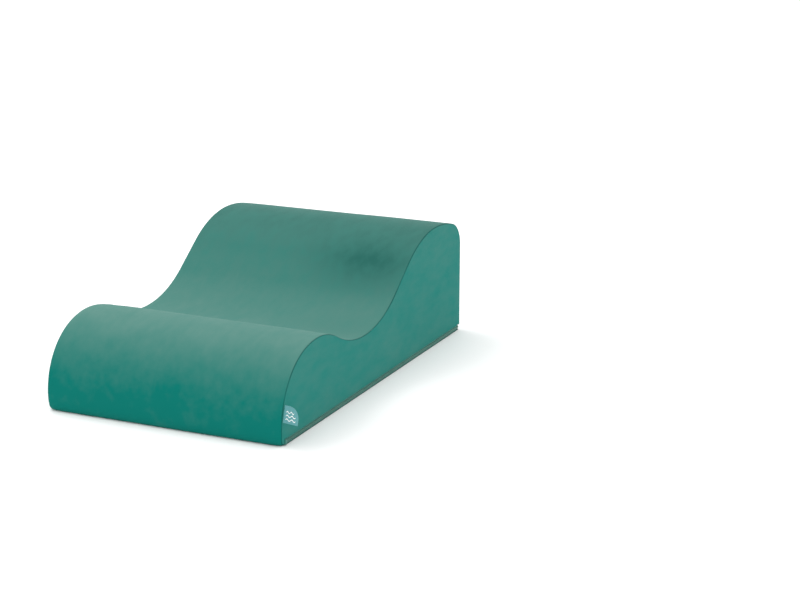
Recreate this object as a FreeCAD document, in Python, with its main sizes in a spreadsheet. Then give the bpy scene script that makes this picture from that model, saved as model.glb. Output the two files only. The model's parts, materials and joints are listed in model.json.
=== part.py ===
import FreeCAD, Part
import math
import os

import Sketcher

# Soft-play wave slide: a foam block cut to a wave, in a zipped velvet cover.
#
# Model frame: origin on the floor at the centre of the base, +X from the low front hump to the
# high rear crest, +Y to the left, +Z up.  The wave is drawn in profile coordinates, with x = 0 at
# the front wall, and every body made from it is moved back by half the length.

doc = FreeCAD.newDocument("WaveSlide")

# ---------------------------------------------------------------------------------------------
# Driving dimensions, in millimetres and degrees
# ---------------------------------------------------------------------------------------------

DIMENSIONS = [
    # the block
    ("length", 1000.0),
    ("width", 600.0),
    ("front_edge_radius", 12.0),
    ("nose_radius", 160.0),
    ("hump_x", 175.0),
    ("hump_height", 200.0),
    ("hump_radius", 210.0),
    ("valley_height", 140.0),
    ("valley_radius", 300.0),
    ("crest_x", 840.0),
    ("crest_height", 310.0),
    ("crest_radius", 290.0),
    ("crown_radius", 400.0),
    ("back_corner_radius", 65.0),
    # cloth and foam
    ("cloth", 2.0),
    ("liner_cloth", 1.0),
    ("base_start_x", 20.0),
    ("base_corner_radius", 9.0),
    # zip band round the right side, the back and the left side
    ("zip_band_height", 15.0),
    ("zip_start_x", 14.0),
    ("zip_relief_depth", 4.0),
    ("zip_relief_height", 19.0),
    ("zip_corner_centre", 11.0),
    ("zip_middle_z", 8.5),
    ("zip_slot", 1.0),
    ("tape_thickness", 1.0),
    ("tape_upper_top", 18.5),
    ("coil_half_height", 2.7),
    ("coil_start_x", 20.0),
    # zip stops and end pieces
    ("stop_length", 3.5),
    ("stop_height", 6.4),
    ("stop_proud", 0.4),
    ("garage_length", 13.8),
    ("garage_height", 12.6),
    ("garage_proud", 3.4),
    ("garage_wall", 0.8),
    ("end_tab_length", 9.0),
    ("end_tab_height", 11.0),
    ("end_tab_proud", 1.2),
    ("end_tab_cloth", 0.7),
    ("end_tab_gap", 0.2),
    ("stop_inset", 1.0),
    ("stop_round", 0.5),
    ("garage_round", 1.0),
    ("end_tab_round", 0.8),
    # slider and pull tab
    ("slider_x", 31.5),
    ("slider_length", 13.0),
    ("slider_nose_height", 10.0),
    ("slider_tail_height", 8.4),
    ("slider_plate", 1.0),
    ("slider_coil_gap", 0.4),
    ("slider_back_gap", 0.3),
    ("slider_rail", 0.6),
    ("slider_rail_gap", 0.3),
    ("slider_post", 0.6),
    ("slider_post_length", 5.0),
    ("slider_rail_inset", 1.0),
    ("cap_length", 6.0),
    ("cap_width", 2.4),
    ("cap_height", 2.6),
    ("cap_wall", 0.8),
    ("cap_round", 0.5),
    ("pull_length", 26.0),
    ("pull_width", 7.0),
    ("pull_thickness", 1.2),
    ("pull_eye_length", 6.0),
    ("pull_eye_width", 3.4),
    ("pull_corner_radius", 3.15),
    # sewn-in labels
    ("label_gap", 0.9),
    ("label_thickness", 1.0),
    ("side_label_x", 3.5),
    ("side_label_out", 40.0),
    ("side_label_height", 38.0),
    ("side_label_low", 56.5),
    ("side_label_corner", 27.0),
    ("side_label_turn", -10.0),
    ("side_label_lean", 13.8),
    ("care_label_x", 996.0),
    ("care_label_out", 24.0),
    ("care_label_height", 50.0),
    ("care_label_low", 70.0),
    ("care_label_corner", 2.0),
    ("care_label_turn", 0.0),
    ("care_label_lean", 0.0),
]

sheet = doc.addObject("Spreadsheet::Sheet", "Dims")
for row, (name, value) in enumerate(DIMENSIONS, start=1):
    sheet.set(f"A{row}", name)
    sheet.set(f"B{row}", str(value))
    sheet.setAlias(f"B{row}", name)
doc.recompute()


def dim(name):
    """The value of a named cell."""
    return float(sheet.get(name))


# ---------------------------------------------------------------------------------------------
# Helpers
# ---------------------------------------------------------------------------------------------


CUT_MARGIN = 20.0  # how far a cutting outline runs past what it cuts
TINY = 1e-6


def new_body(label):
    """A sub-part's body, moved so that profile x = 0 is the front of the block."""
    body = doc.addObject("PartDesign::Body", label)
    body.Label = label
    body.setExpression("Placement.Base.x", "-Dims.length / 2")
    return body


def new_sketch(body, name, plane_role):
    """A sketch on one of the body's own origin planes."""
    sketch = body.newObject("Sketcher::SketchObject", name)
    planes = [f for f in body.Origin.OriginFeatures if f.Role == plane_role]
    sketch.AttachmentSupport = (planes[0], "")
    sketch.MapMode = "FlatFace"
    return sketch


def bind(sketch, constraint, expression):
    """Adds a driving constraint whose value follows the sheet."""
    index = sketch.addConstraint(constraint)
    sketch.setExpression(f"Constraints[{index}]", expression)


def is_broken(obj):
    """True when an object's last recompute failed."""
    return "Invalid" in obj.State or "Error" in obj.State


def feature(body, kind, name, sketch):
    """A pad or pocket of a sketch."""
    made = body.newObject(f"PartDesign::{kind}", name)
    made.Profile = sketch
    sketch.Visibility = False
    return made


def centred_pad(body, name, sketch, length):
    """A pad that grows equally to both sides of its sketch."""
    pad = feature(body, "Pad", name, sketch)
    pad.SideType = "Symmetric"
    pad.setExpression("Length", length)
    return pad


def cut_through(body, name, sketch):
    """A pocket that cuts everything on both sides of its sketch."""
    pocket = feature(body, "Pocket", name, sketch)
    pocket.SideType = "Symmetric"
    pocket.Type = "ThroughAll"
    return pocket


def checked_cut(body, pocket):
    """Recomputes and makes sure that the pocket removed something."""
    before = pocket.BaseFeature.Shape.Volume
    doc.recompute()
    if not pocket.Shape.Volume < before - 1.0:
        raise RuntimeError(f"{body.Label}: {pocket.Name} cuts nothing")


def rectangle(sketch, left, right, low, high):
    """A closed rectangle whose sides follow four expressions; the values start it near its place."""
    x0, x1, y0, y1 = (value_of(e) for e in (left, right, low, high))
    corners = [(x0, y0), (x1, y0), (x1, y1), (x0, y1)]
    first = sketch.GeometryCount
    for i in range(4):
        a = FreeCAD.Vector(*corners[i], 0)
        b = FreeCAD.Vector(*corners[(i + 1) % 4], 0)
        sketch.addGeometry(Part.LineSegment(a, b))
    for i in range(4):
        sketch.addConstraint(
            Sketcher.Constraint("Coincident", first + i, 2, first + (i + 1) % 4, 1)
        )
        direction = "Horizontal" if i % 2 == 0 else "Vertical"
        sketch.addConstraint(Sketcher.Constraint(direction, first + i))
    bind(sketch, Sketcher.Constraint("DistanceX", -1, 1, first, 1, x0), left)
    bind(sketch, Sketcher.Constraint("DistanceX", -1, 1, first + 2, 1, x1), right)
    bind(sketch, Sketcher.Constraint("DistanceY", -1, 1, first, 1, y0), low)
    bind(sketch, Sketcher.Constraint("DistanceY", -1, 1, first + 2, 1, y1), high)


def value_of(expression):
    """The value of a sheet expression, worked out by a spare cell of the sheet."""
    sheet.set("D1", "=" + expression.replace("Dims.", ""))
    sheet.recompute()
    return float(sheet.get("D1"))


# ---------------------------------------------------------------------------------------------
# The wave profile
# ---------------------------------------------------------------------------------------------


def wave_centres():
    """Centres of the wave's arcs, in profile coordinates: neighbours are tangent to each other."""
    hump = (dim("hump_x"), dim("hump_height") - dim("hump_radius"))
    nose_offset = dim("hump_radius") - dim("nose_radius")
    nose_x = dim("nose_radius")
    nose = (nose_x, hump[1] + math.sqrt(nose_offset**2 - (hump[0] - nose_x) ** 2))
    valley_z = dim("valley_height") + dim("valley_radius")
    reach = dim("hump_radius") + dim("valley_radius")
    valley = (hump[0] + math.sqrt(reach**2 - (valley_z - hump[1]) ** 2), valley_z)
    crest = (dim("crest_x"), dim("crest_height") - dim("crest_radius"))
    crown = (dim("crest_x"), dim("crest_height") - dim("crown_radius"))
    back_x = dim("length") - dim("back_corner_radius")
    inner = dim("crown_radius") - dim("back_corner_radius")
    back = (back_x, crown[1] + math.sqrt(inner**2 - (back_x - crown[0]) ** 2))
    return nose, hump, valley, crest, crown, back


def rise_normal(valley, crest):
    """Upward normal of the straight rise that is tangent to the valley arc and the crest arc."""
    run = crest[0] - valley[0]
    climb = crest[1] - valley[1]
    lean = math.asin((dim("valley_radius") + dim("crest_radius")) / math.hypot(run, climb))
    angle = math.atan2(climb, run) + lean
    return -math.sin(angle), math.cos(angle)


def angle_to(centre, point):
    return math.atan2(point[1] - centre[1], point[0] - centre[0])


def segment(start, end):
    """Straight line between two points of a sketch."""
    return Part.LineSegment(FreeCAD.Vector(*start, 0), FreeCAD.Vector(*end, 0))


def arc_of(centre, radius, start, end):
    """Counter-clockwise arc between two angles."""
    circle = Part.Circle(FreeCAD.Vector(*centre, 0), FreeCAD.Vector(0, 0, 1), radius)
    return Part.ArcOfCircle(circle, start, end)


def wave_sketch(body, name, inset):
    """The closed side profile, moved inwards by an inset expression, fully constrained.

    Convex arcs lose the inset from their radius and the valley gains it; centres stay put.
    """
    sketch = new_sketch(body, name, "XZ_Plane")
    gap = value_of(inset)
    nose, hump, valley, crest, crown, back = wave_centres()
    normal = rise_normal(valley, crest)
    valley_end = math.atan2(-normal[1], -normal[0])
    crest_start = math.atan2(normal[1], normal[0])
    edge = dim("front_edge_radius")
    edge_centre = (edge, edge)
    up = math.pi / 2
    # centre, radius, start angle and end angle of each arc
    nose_to_hump = angle_to(hump, nose)
    hump_to_valley = angle_to(hump, valley)
    crown_to_back = angle_to(crown, back)
    arcs = {
        "edge": (edge_centre, edge - gap, math.pi, 1.5 * math.pi),
        "nose": (nose, dim("nose_radius") - gap, nose_to_hump, math.pi),
        "hump": (hump, dim("hump_radius") - gap, hump_to_valley, nose_to_hump),
        "valley": (valley, dim("valley_radius") + gap, hump_to_valley - math.pi, valley_end),
        "crest": (crest, dim("crest_radius") - gap, up, crest_start),
        "crown": (crown, dim("crown_radius") - gap, crown_to_back, up),
        "back": (back, dim("back_corner_radius") - gap, 0.0, crown_to_back),
    }
    curves = {key: arc_of(*values) for key, values in arcs.items()}
    rise = Part.LineSegment(curves["valley"].EndPoint, curves["crest"].EndPoint)
    front_wall = Part.LineSegment(curves["edge"].StartPoint, curves["nose"].EndPoint)
    back_low = FreeCAD.Vector(dim("length") - gap, gap, 0)
    back_wall = Part.LineSegment(curves["back"].StartPoint, back_low)
    floor_line = Part.LineSegment(back_low, curves["edge"].EndPoint)
    order = [
        curves["edge"], front_wall, curves["nose"], curves["hump"], curves["valley"], rise,
        curves["crest"], curves["crown"], curves["back"], back_wall, floor_line,
    ]
    edge_i, front_i, nose_i, hump_i, valley_i, rise_i = range(6)
    crest_i, crown_i, back_i, wall_i, floor_i = range(6, 11)
    for piece in order:
        sketch.addGeometry(piece)

    def tangent(a, a_end, b, b_end):
        sketch.addConstraint(Sketcher.Constraint("Tangent", a, a_end, b, b_end))

    tangent(edge_i, 1, front_i, 1)
    tangent(front_i, 2, nose_i, 2)
    tangent(nose_i, 1, hump_i, 2)
    tangent(hump_i, 1, valley_i, 1)
    tangent(valley_i, 2, rise_i, 1)
    tangent(rise_i, 2, crest_i, 2)
    tangent(crest_i, 1, crown_i, 2)
    tangent(crown_i, 1, back_i, 2)
    tangent(back_i, 1, wall_i, 1)
    sketch.addConstraint(Sketcher.Constraint("Coincident", wall_i, 2, floor_i, 1))
    tangent(floor_i, 2, edge_i, 2)
    sketch.addConstraint(Sketcher.Constraint("Vertical", front_i))
    sketch.addConstraint(Sketcher.Constraint("Vertical", wall_i))
    sketch.addConstraint(Sketcher.Constraint("Horizontal", floor_i))

    def radius(index, expression):
        value = sketch.Geometry[index].Radius
        bind(sketch, Sketcher.Constraint("Radius", index, value), expression)

    def place(axis, index, point, expression):
        now = sketch.getPoint(index, point)
        value = now.x if axis == "DistanceX" else now.y
        bind(sketch, Sketcher.Constraint(axis, -1, 1, index, point, value), expression)

    centre = 3
    radius(edge_i, f"Dims.front_edge_radius - {inset}")
    radius(nose_i, f"Dims.nose_radius - {inset}")
    radius(hump_i, f"Dims.hump_radius - {inset}")
    radius(valley_i, f"Dims.valley_radius + {inset}")
    radius(crest_i, f"Dims.crest_radius - {inset}")
    radius(crown_i, f"Dims.crown_radius - {inset}")
    radius(back_i, f"Dims.back_corner_radius - {inset}")
    place("DistanceX", front_i, 1, inset)
    place("DistanceY", floor_i, 1, inset)
    place("DistanceX", wall_i, 1, f"Dims.length - {inset}")
    place("DistanceX", hump_i, centre, "Dims.hump_x")
    place("DistanceY", hump_i, centre, "Dims.hump_height - Dims.hump_radius")
    place("DistanceY", valley_i, centre, "Dims.valley_height + Dims.valley_radius")
    place("DistanceX", crest_i, centre, "Dims.crest_x")
    place("DistanceY", crest_i, centre, "Dims.crest_height - Dims.crest_radius")
    place("DistanceX", crown_i, centre, "Dims.crest_x")
    return sketch


# ---------------------------------------------------------------------------------------------
# Foam, liner and cover panels
# ---------------------------------------------------------------------------------------------


def relief_pocket(body, depth_inside, height):
    """Takes a shallow step out of the lower edge at both sides and the back, where the zip runs."""
    ring = new_sketch(body, body.Name + "_relief_sketch", "XY_Plane")
    half = "Dims.width / 2"
    rectangle(
        ring,
        f"-2 * {CUT_MARGIN}",
        f"Dims.length + {CUT_MARGIN}",
        f"-({half}) - {CUT_MARGIN}",
        f"{half} + {CUT_MARGIN}",
    )
    rectangle(
        ring,
        f"-1 * {CUT_MARGIN}",
        f"Dims.length - ({depth_inside})",
        f"-({half}) + ({depth_inside})",
        f"{half} - ({depth_inside})",
    )
    relief = feature(body, "Pocket", body.Name + "_relief", ring)
    relief.Type = "Length"
    relief.Reversed = True
    relief.setExpression("Length", height)
    checked_cut(body, relief)


def make_foam_core():
    """The foam block: the wave, one cloth and one liner inside the outer surface."""
    body = new_body("foam_core")
    inset = "(Dims.cloth + Dims.liner_cloth)"
    sketch = wave_sketch(body, "foam_profile", inset)
    centred_pad(body, "foam_block", sketch, f"Dims.width - 2 * {inset}")
    doc.recompute()
    relief_pocket(body, f"{inset} + Dims.zip_relief_depth", "Dims.zip_relief_height - Dims.liner_cloth")
    return body


def make_inner_liner(foam_core):
    """The thin bag round the foam: the space inside the cover, less the foam."""
    bag = new_body("liner_outside")
    sketch = wave_sketch(bag, "liner_profile", "Dims.cloth")
    centred_pad(bag, "liner_block", sketch, "Dims.width - 2 * Dims.cloth")
    doc.recompute()
    relief_pocket(bag, "Dims.cloth + Dims.zip_relief_depth", "Dims.zip_relief_height")
    liner = doc.addObject("Part::Cut", "inner_liner")
    liner.Label = "inner_liner"
    liner.Base = bag
    liner.Tool = foam_core
    return liner


def make_top_panel():
    """The long strip: under the front edge, up the front, over the wave and down the back."""
    body = new_body("top_panel")
    outside = wave_sketch(body, "strip_outside", "0")
    centred_pad(body, "strip_block", outside, "Dims.width - 2 * Dims.cloth")
    doc.recompute()
    inside = wave_sketch(body, "strip_inside", "Dims.cloth")
    checked_cut(body, cut_through(body, "strip_hollow", inside))
    lower = new_sketch(body, "strip_lower_sketch", "XZ_Plane")
    past_back = f"Dims.length + {CUT_MARGIN}"
    rectangle(lower, "Dims.base_start_x", past_back, f"-{CUT_MARGIN}", "Dims.zip_band_height")
    checked_cut(body, cut_through(body, "strip_lower_cut", lower))
    return body


def make_side_panel(label, side):
    """A wave-shaped side: side is 1 for the left and -1 for the right."""
    body = new_body(label)
    body.setExpression("Placement.Base.y", f"{side} * (Dims.width - Dims.cloth) / 2")
    sketch = wave_sketch(body, label + "_profile", "0")
    centred_pad(body, label + "_cloth", sketch, "Dims.cloth")
    doc.recompute()
    lower = new_sketch(body, label + "_lower_sketch", "XZ_Plane")
    past_back = f"Dims.length + {CUT_MARGIN}"
    rectangle(lower, "Dims.zip_start_x", past_back, f"-{CUT_MARGIN}", "Dims.zip_band_height")
    checked_cut(body, cut_through(body, label + "_zip_cut", lower))
    return body


def make_base_panel():
    """The bottom cloth, with its two rear corners rounded where the zip turns."""
    body = new_body("base_panel")
    sketch = new_sketch(body, "base_outline", "XY_Plane")
    rectangle(sketch, "Dims.base_start_x", "Dims.length", "-Dims.width / 2", "Dims.width / 2")
    pad = feature(body, "Pad", "base_cloth", sketch)
    pad.setExpression("Length", "Dims.cloth")
    doc.recompute()
    rear_edges = []
    for number, edge in enumerate(pad.Shape.Edges, start=1):
        box = edge.BoundBox
        at_back = box.XMin > dim("length") - 1.0
        upright = box.ZLength > dim("cloth") / 2 and box.YLength < TINY
        if at_back and upright:
            rear_edges.append(f"Edge{number}")
    fillet = body.newObject("PartDesign::Fillet", "base_rear_corners")
    fillet.Base = (pad, rear_edges)
    fillet.setExpression("Radius", "Dims.base_corner_radius")
    return body


# ---------------------------------------------------------------------------------------------
# Zip band
# ---------------------------------------------------------------------------------------------


def make_band(label, outer_depth, inner_depth, start_x, low, high):
    """A strip that stands on edge and runs along the right side, the back and the left side.

    outer_depth and inner_depth are how far its two faces lie inside the cover's outer surface.
    """
    body = new_body(label)
    body.setExpression("Placement.Base.z", low)
    sketch = new_sketch(body, label + "_path", "XY_Plane")
    depths = [value_of(outer_depth), value_of(inner_depth)]
    corner = dim("zip_corner_centre")
    length = dim("length")
    half = dim("width") / 2
    first_x = value_of(start_x)
    centre_x = length - corner
    centre_y = half - corner
    lines = {}
    for name, depth in zip(("outer", "inner"), depths):
        radius = corner - depth
        y = half - depth
        x = length - depth
        base = sketch.GeometryCount
        sketch.addGeometry(segment((first_x, -y), (centre_x, -y)))
        sketch.addGeometry(arc_of((centre_x, -centre_y), radius, -math.pi / 2, 0.0))
        sketch.addGeometry(segment((x, -centre_y), (x, centre_y)))
        sketch.addGeometry(arc_of((centre_x, centre_y), radius, 0.0, math.pi / 2))
        sketch.addGeometry(segment((centre_x, y), (first_x, y)))
        for i in range(4):
            sketch.addConstraint(Sketcher.Constraint("Tangent", base + i, 2, base + i + 1, 1))
        lines[name] = base
    for outer_point, inner_point, outer_line, inner_line in (
        (1, 1, lines["outer"], lines["inner"]),
        (2, 2, lines["outer"] + 4, lines["inner"] + 4),
    ):
        a = sketch.getPoint(outer_line, outer_point)
        b = sketch.getPoint(inner_line, inner_point)
        end = sketch.addGeometry(Part.LineSegment(a, b))
        sketch.addConstraint(Sketcher.Constraint("Coincident", outer_line, outer_point, end, 1))
        sketch.addConstraint(Sketcher.Constraint("Coincident", end, 2, inner_line, inner_point))
        sketch.addConstraint(Sketcher.Constraint("Vertical", end))
        bind(sketch, Sketcher.Constraint("DistanceX", -1, 1, end, 1, first_x), start_x)
    for name, depth_expression in (("outer", outer_depth), ("inner", inner_depth)):
        base = lines[name]
        depth = value_of(depth_expression)
        right, back, left = base, base + 2, base + 4
        for arc in (base + 1, base + 3):
            bind(
                sketch,
                Sketcher.Constraint("Radius", arc, corner - depth),
                f"Dims.zip_corner_centre - ({depth_expression})",
            )
        bind(
            sketch,
            Sketcher.Constraint("DistanceY", -1, 1, left, 1, half - depth),
            f"Dims.width / 2 - ({depth_expression})",
        )
        bind(
            sketch,
            Sketcher.Constraint("DistanceY", right, 1, -1, 1, half - depth),
            f"Dims.width / 2 - ({depth_expression})",
        )
        bind(
            sketch,
            Sketcher.Constraint("DistanceX", -1, 1, back, 1, length - depth),
            f"Dims.length - ({depth_expression})",
        )
        sketch.addConstraint(Sketcher.Constraint("Vertical", back))
    pad = feature(body, "Pad", label + "_strip", sketch)
    pad.setExpression("Length", f"({high}) - ({low})")
    return body


def make_zip_tapes_and_coils():
    """Both halves of the tape and of the coil; a narrow slot between them lets the slider pass."""
    slot_low = "Dims.zip_middle_z - Dims.zip_slot / 2"
    slot_high = "Dims.zip_middle_z + Dims.zip_slot / 2"
    tape_out = "Dims.cloth"
    tape_in = "Dims.cloth + Dims.tape_thickness"
    coil_in = "Dims.cloth"
    tape_start = "Dims.zip_start_x"
    coil_start = "Dims.coil_start_x"
    coil_high = f"{slot_high} + Dims.coil_half_height"
    coil_low = f"{slot_low} - Dims.coil_half_height"
    return [
        make_band("zip_tape_upper", tape_out, tape_in, tape_start, slot_high, "Dims.tape_upper_top"),
        make_band("zip_tape_lower", tape_out, tape_in, tape_start, "Dims.cloth", slot_low),
        make_band("zip_coil_upper", "0", coil_in, coil_start, slot_high, coil_high),
        make_band("zip_coil_lower", "0", coil_in, coil_start, coil_low, slot_low),
    ]


def block_on_tape(label, side, start, length, height, proud):
    """A small block that sits on the tape's outer face, centred on the zip's middle line."""
    body = new_body(label)
    body.setExpression("Placement.Base.y", f"{side} * (Dims.width / 2 - Dims.cloth)")
    body.setExpression("Placement.Base.z", "Dims.zip_middle_z")
    sketch = new_sketch(body, label + "_outline", "XZ_Plane")
    rectangle(sketch, start, f"{start} + {length}", f"-({height}) / 2", f"({height}) / 2")
    pad = feature(body, "Pad", label + "_block", sketch)
    pad.setExpression("Length", f"Dims.cloth + {proud}")
    pad.Reversed = side > 0
    doc.recompute()
    return body, pad


def round_outer_edges(body, base, side, radius_name):
    """Rounds the edges of the face that points away from the cover; the radius is a named cell."""
    limit = base.Shape.BoundBox.YMax if side > 0 else base.Shape.BoundBox.YMin
    names = []
    for number, edge in enumerate(base.Shape.Edges, start=1):
        box = edge.BoundBox
        if abs(box.YMin - limit) < TINY and abs(box.YMax - limit) < TINY:
            names.append(f"Edge{number}")
    fillet = body.newObject("PartDesign::Fillet", body.Name + "_edges")
    fillet.Base = (base, names)
    fillet.setExpression("Radius", f"Dims.{radius_name}")
    return fillet


def make_stop(label, side):
    """A crimped stop across both halves of the zip."""
    body, pad = block_on_tape(
        label, side, "Dims.zip_start_x + Dims.stop_inset", "Dims.stop_length",
        "Dims.stop_height", "Dims.stop_proud",
    )
    round_outer_edges(body, pad, side, "stop_round")
    return body


def make_zip_garage():
    """The cloth pocket over the zip's closed end, open towards the slider's tail."""
    body, pad = block_on_tape(
        "zip_garage", 1, "Dims.zip_start_x", "Dims.garage_length",
        "Dims.garage_height", "Dims.garage_proud",
    )
    round_outer_edges(body, pad, 1, "garage_round")
    doc.recompute()
    inside = new_sketch(body, "garage_mouth", "XZ_Plane")
    wall = "Dims.garage_wall"
    half = "(Dims.garage_height) / 2"
    rectangle(
        inside, f"Dims.zip_start_x + {wall}", f"Dims.zip_start_x + Dims.garage_length + {CUT_MARGIN}",
        f"-{half} + {wall}", f"{half} - {wall}",
    )
    pocket = feature(body, "Pocket", "garage_hollow", inside)
    pocket.Type = "Length"
    pocket.setExpression("Length", f"Dims.cloth + Dims.garage_proud - {wall}")
    pocket.Reversed = False
    checked_cut(body, pocket)
    return body


def make_zip_end_tab():
    """The folded cloth tab that covers the raw tape ends at the front right."""
    body, pad = block_on_tape(
        "zip_end_tab", -1, "Dims.zip_start_x", "Dims.end_tab_length",
        "Dims.end_tab_height", "Dims.end_tab_proud",
    )
    round_outer_edges(body, pad, -1, "end_tab_round")
    doc.recompute()
    inside = new_sketch(body, "end_tab_fold", "XZ_Plane")
    fold = "Dims.garage_wall"
    half = "(Dims.stop_height / 2 + Dims.end_tab_gap)"
    rectangle(
        inside, f"Dims.zip_start_x + {fold}", f"Dims.zip_start_x + Dims.end_tab_length + {CUT_MARGIN}",
        f"-{half}", half,
    )
    pocket = feature(body, "Pocket", "end_tab_hollow", inside)
    pocket.Type = "Length"
    pocket.setExpression("Length", "Dims.cloth + Dims.end_tab_proud - Dims.end_tab_cloth")
    pocket.Reversed = True
    checked_cut(body, pocket)
    return body


# ---------------------------------------------------------------------------------------------
# Slider, cap and pull tab
# ---------------------------------------------------------------------------------------------


def slider_outline(body, name, back_y):
    """The slider's plate outline, wide at the nose and narrow at the tail, on a plane at back_y."""
    sketch = new_sketch(body, name, "XZ_Plane")
    sketch.setExpression("AttachmentOffset.Base.z", f"-({back_y})")
    half_length = dim("slider_length") / 2
    nose = dim("slider_nose_height") / 2
    tail = dim("slider_tail_height") / 2
    points = [(-half_length, -nose), (half_length, -tail), (half_length, tail), (-half_length, nose)]
    for i in range(4):
        a = FreeCAD.Vector(*points[i], 0)
        b = FreeCAD.Vector(*points[(i + 1) % 4], 0)
        sketch.addGeometry(Part.LineSegment(a, b))
    for i in range(4):
        sketch.addConstraint(Sketcher.Constraint("Coincident", i, 2, (i + 1) % 4, 1))
    for index, half in ((0, "Dims.slider_nose_height / 2"), (1, "Dims.slider_tail_height / 2")):
        sign_x = -1 if index == 0 else 1
        value = nose if index == 0 else tail
        bind(sketch, Sketcher.Constraint("DistanceY", index, 1, -1, 1, value), half)
        opposite = 3 if index == 0 else 2
        bind(sketch, Sketcher.Constraint("DistanceY", -1, 1, opposite, 1, value), half)
        for corner in (index, opposite):
            constraint = Sketcher.Constraint("DistanceX", -1, 1, corner, 1, sign_x * half_length)
            bind(sketch, constraint, f"{sign_x} * Dims.slider_length / 2")
    return sketch


def make_zip_slider():
    """Two plates, one each side of the coil, joined by rails outside the coil and a thin post."""
    body = new_body("zip_slider")
    body.setExpression("Placement.Base.x", "Dims.slider_x - Dims.length / 2")
    body.setExpression("Placement.Base.y", "Dims.width / 2")
    body.setExpression("Placement.Base.z", "Dims.zip_middle_z")
    back_face = "-Dims.cloth - Dims.tape_thickness - Dims.slider_back_gap"
    outer = slider_outline(body, "slider_outer_outline", "Dims.slider_coil_gap")
    pad = feature(body, "Pad", "slider_outer_plate", outer)
    pad.Reversed = True
    pad.setExpression("Length", "Dims.slider_plate")
    doc.recompute()

    rail = new_sketch(body, "slider_rails", "XZ_Plane")
    rail.setExpression("AttachmentOffset.Base.z", "-Dims.slider_coil_gap")
    clear = "(Dims.zip_slot / 2 + Dims.coil_half_height + Dims.slider_rail_gap)"
    for side in ("", "-"):
        near = f"{side}{clear}"
        far = f"{side}({clear} + Dims.slider_rail)"
        low, high = (near, far) if side == "" else (far, near)
        end = "Dims.slider_length / 2 - Dims.slider_rail_inset"
        rectangle(rail, f"-({end})", end, low, high)
    rails = feature(body, "Pad", "slider_rail_pads", rail)
    rails.setExpression("Length", "Dims.slider_coil_gap + Dims.cloth - Dims.slider_rail_gap")
    doc.recompute()

    post = new_sketch(body, "slider_post_outline", "XZ_Plane")
    post.setExpression("AttachmentOffset.Base.z", "-Dims.slider_coil_gap")
    thin = "Dims.slider_post / 2"
    nose_end = "-Dims.slider_length / 2"
    rectangle(post, nose_end, f"{nose_end} + Dims.slider_post_length", f"-{thin}", thin)
    post_pad = feature(body, "Pad", "slider_post_pad", post)
    post_pad.setExpression("Length", f"Dims.slider_coil_gap - ({back_face})")
    doc.recompute()

    inner = slider_outline(body, "slider_inner_outline", back_face)
    inner_pad = feature(body, "Pad", "slider_inner_plate", inner)
    inner_pad.setExpression("Length", "Dims.slider_plate")
    return body


def make_zip_slider_cap():
    """The small arch on the outer plate; the pull tab's cross bar turns under it."""
    body = new_body("zip_slider_cap")
    body.setExpression("Placement.Base.x", "Dims.slider_x - Dims.length / 2")
    body.setExpression("Placement.Base.y", "Dims.width / 2 + Dims.slider_coil_gap + Dims.slider_plate")
    body.setExpression("Placement.Base.z", "Dims.zip_middle_z")
    sketch = new_sketch(body, "cap_outline", "XZ_Plane")
    half_length = "Dims.cap_length / 2"
    half_width = "Dims.cap_width / 2"
    rectangle(sketch, f"-{half_length}", half_length, f"-{half_width}", half_width)
    pad = feature(body, "Pad", "cap_block", sketch)
    pad.Reversed = True
    pad.setExpression("Length", "Dims.cap_height")
    doc.recompute()
    round_outer_edges(body, pad, 1, "cap_round")
    doc.recompute()
    mouth = new_sketch(body, "cap_mouth", "XY_Plane")
    rectangle(
        mouth, f"-{half_length} + Dims.cap_wall", f"{half_length} - Dims.cap_wall",
        "-Dims.cap_wall", "Dims.cap_height - Dims.cap_wall",
    )
    checked_cut(body, cut_through(body, "cap_opening", mouth))
    return body


def make_zip_pull_tab():
    """A flat tab with an eye; the bar beyond the eye is round and is the hinge."""
    body = new_body("zip_pull_tab")
    body.setExpression("Placement.Base.x", "Dims.slider_x - Dims.length / 2")
    hinge_depth = "(Dims.cap_height - Dims.cap_wall) / 2"
    body.setExpression(
        "Placement.Base.y",
        f"Dims.width / 2 + Dims.slider_coil_gap + Dims.slider_plate + {hinge_depth}",
    )
    body.setExpression("Placement.Base.z", "Dims.zip_middle_z")
    sketch = new_sketch(body, "pull_outline", "XZ_Plane")
    half_width = "Dims.pull_width / 2"
    rectangle(sketch, "0", "Dims.pull_length", f"-{half_width}", half_width)
    rectangle(
        sketch,
        "Dims.pull_thickness / 2",
        "Dims.pull_thickness / 2 + Dims.pull_eye_length",
        "-Dims.pull_eye_width / 2",
        "Dims.pull_eye_width / 2",
    )
    centred_pad(body, "pull_plate", sketch, "Dims.pull_thickness")
    doc.recompute()
    bar = new_sketch(body, "pull_bar_circle", "XY_Plane")
    radius = dim("pull_thickness") / 2
    bar.addGeometry(Part.Circle(FreeCAD.Vector(0, 0, 0), FreeCAD.Vector(0, 0, 1), radius))
    bar.addConstraint(Sketcher.Constraint("Coincident", 0, 3, -1, 1))
    bind(bar, Sketcher.Constraint("Radius", 0, radius), "Dims.pull_thickness / 2")
    bar_pad = centred_pad(body, "pull_bar", bar, "Dims.pull_width")
    doc.recompute()
    far = bar_pad.Shape.BoundBox.XMax
    names = []
    for number, edge in enumerate(bar_pad.Shape.Edges, start=1):
        box = edge.BoundBox
        at_end = box.XMin > far - TINY
        if at_end and box.YLength > dim("pull_thickness") / 2:
            names.append(f"Edge{number}")
    corners = body.newObject("PartDesign::Fillet", "pull_end_corners")
    corners.Base = (bar_pad, names)
    corners.setExpression("Radius", "Dims.pull_corner_radius")
    return body


# ---------------------------------------------------------------------------------------------
# Sewn-in labels
# ---------------------------------------------------------------------------------------------


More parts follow.
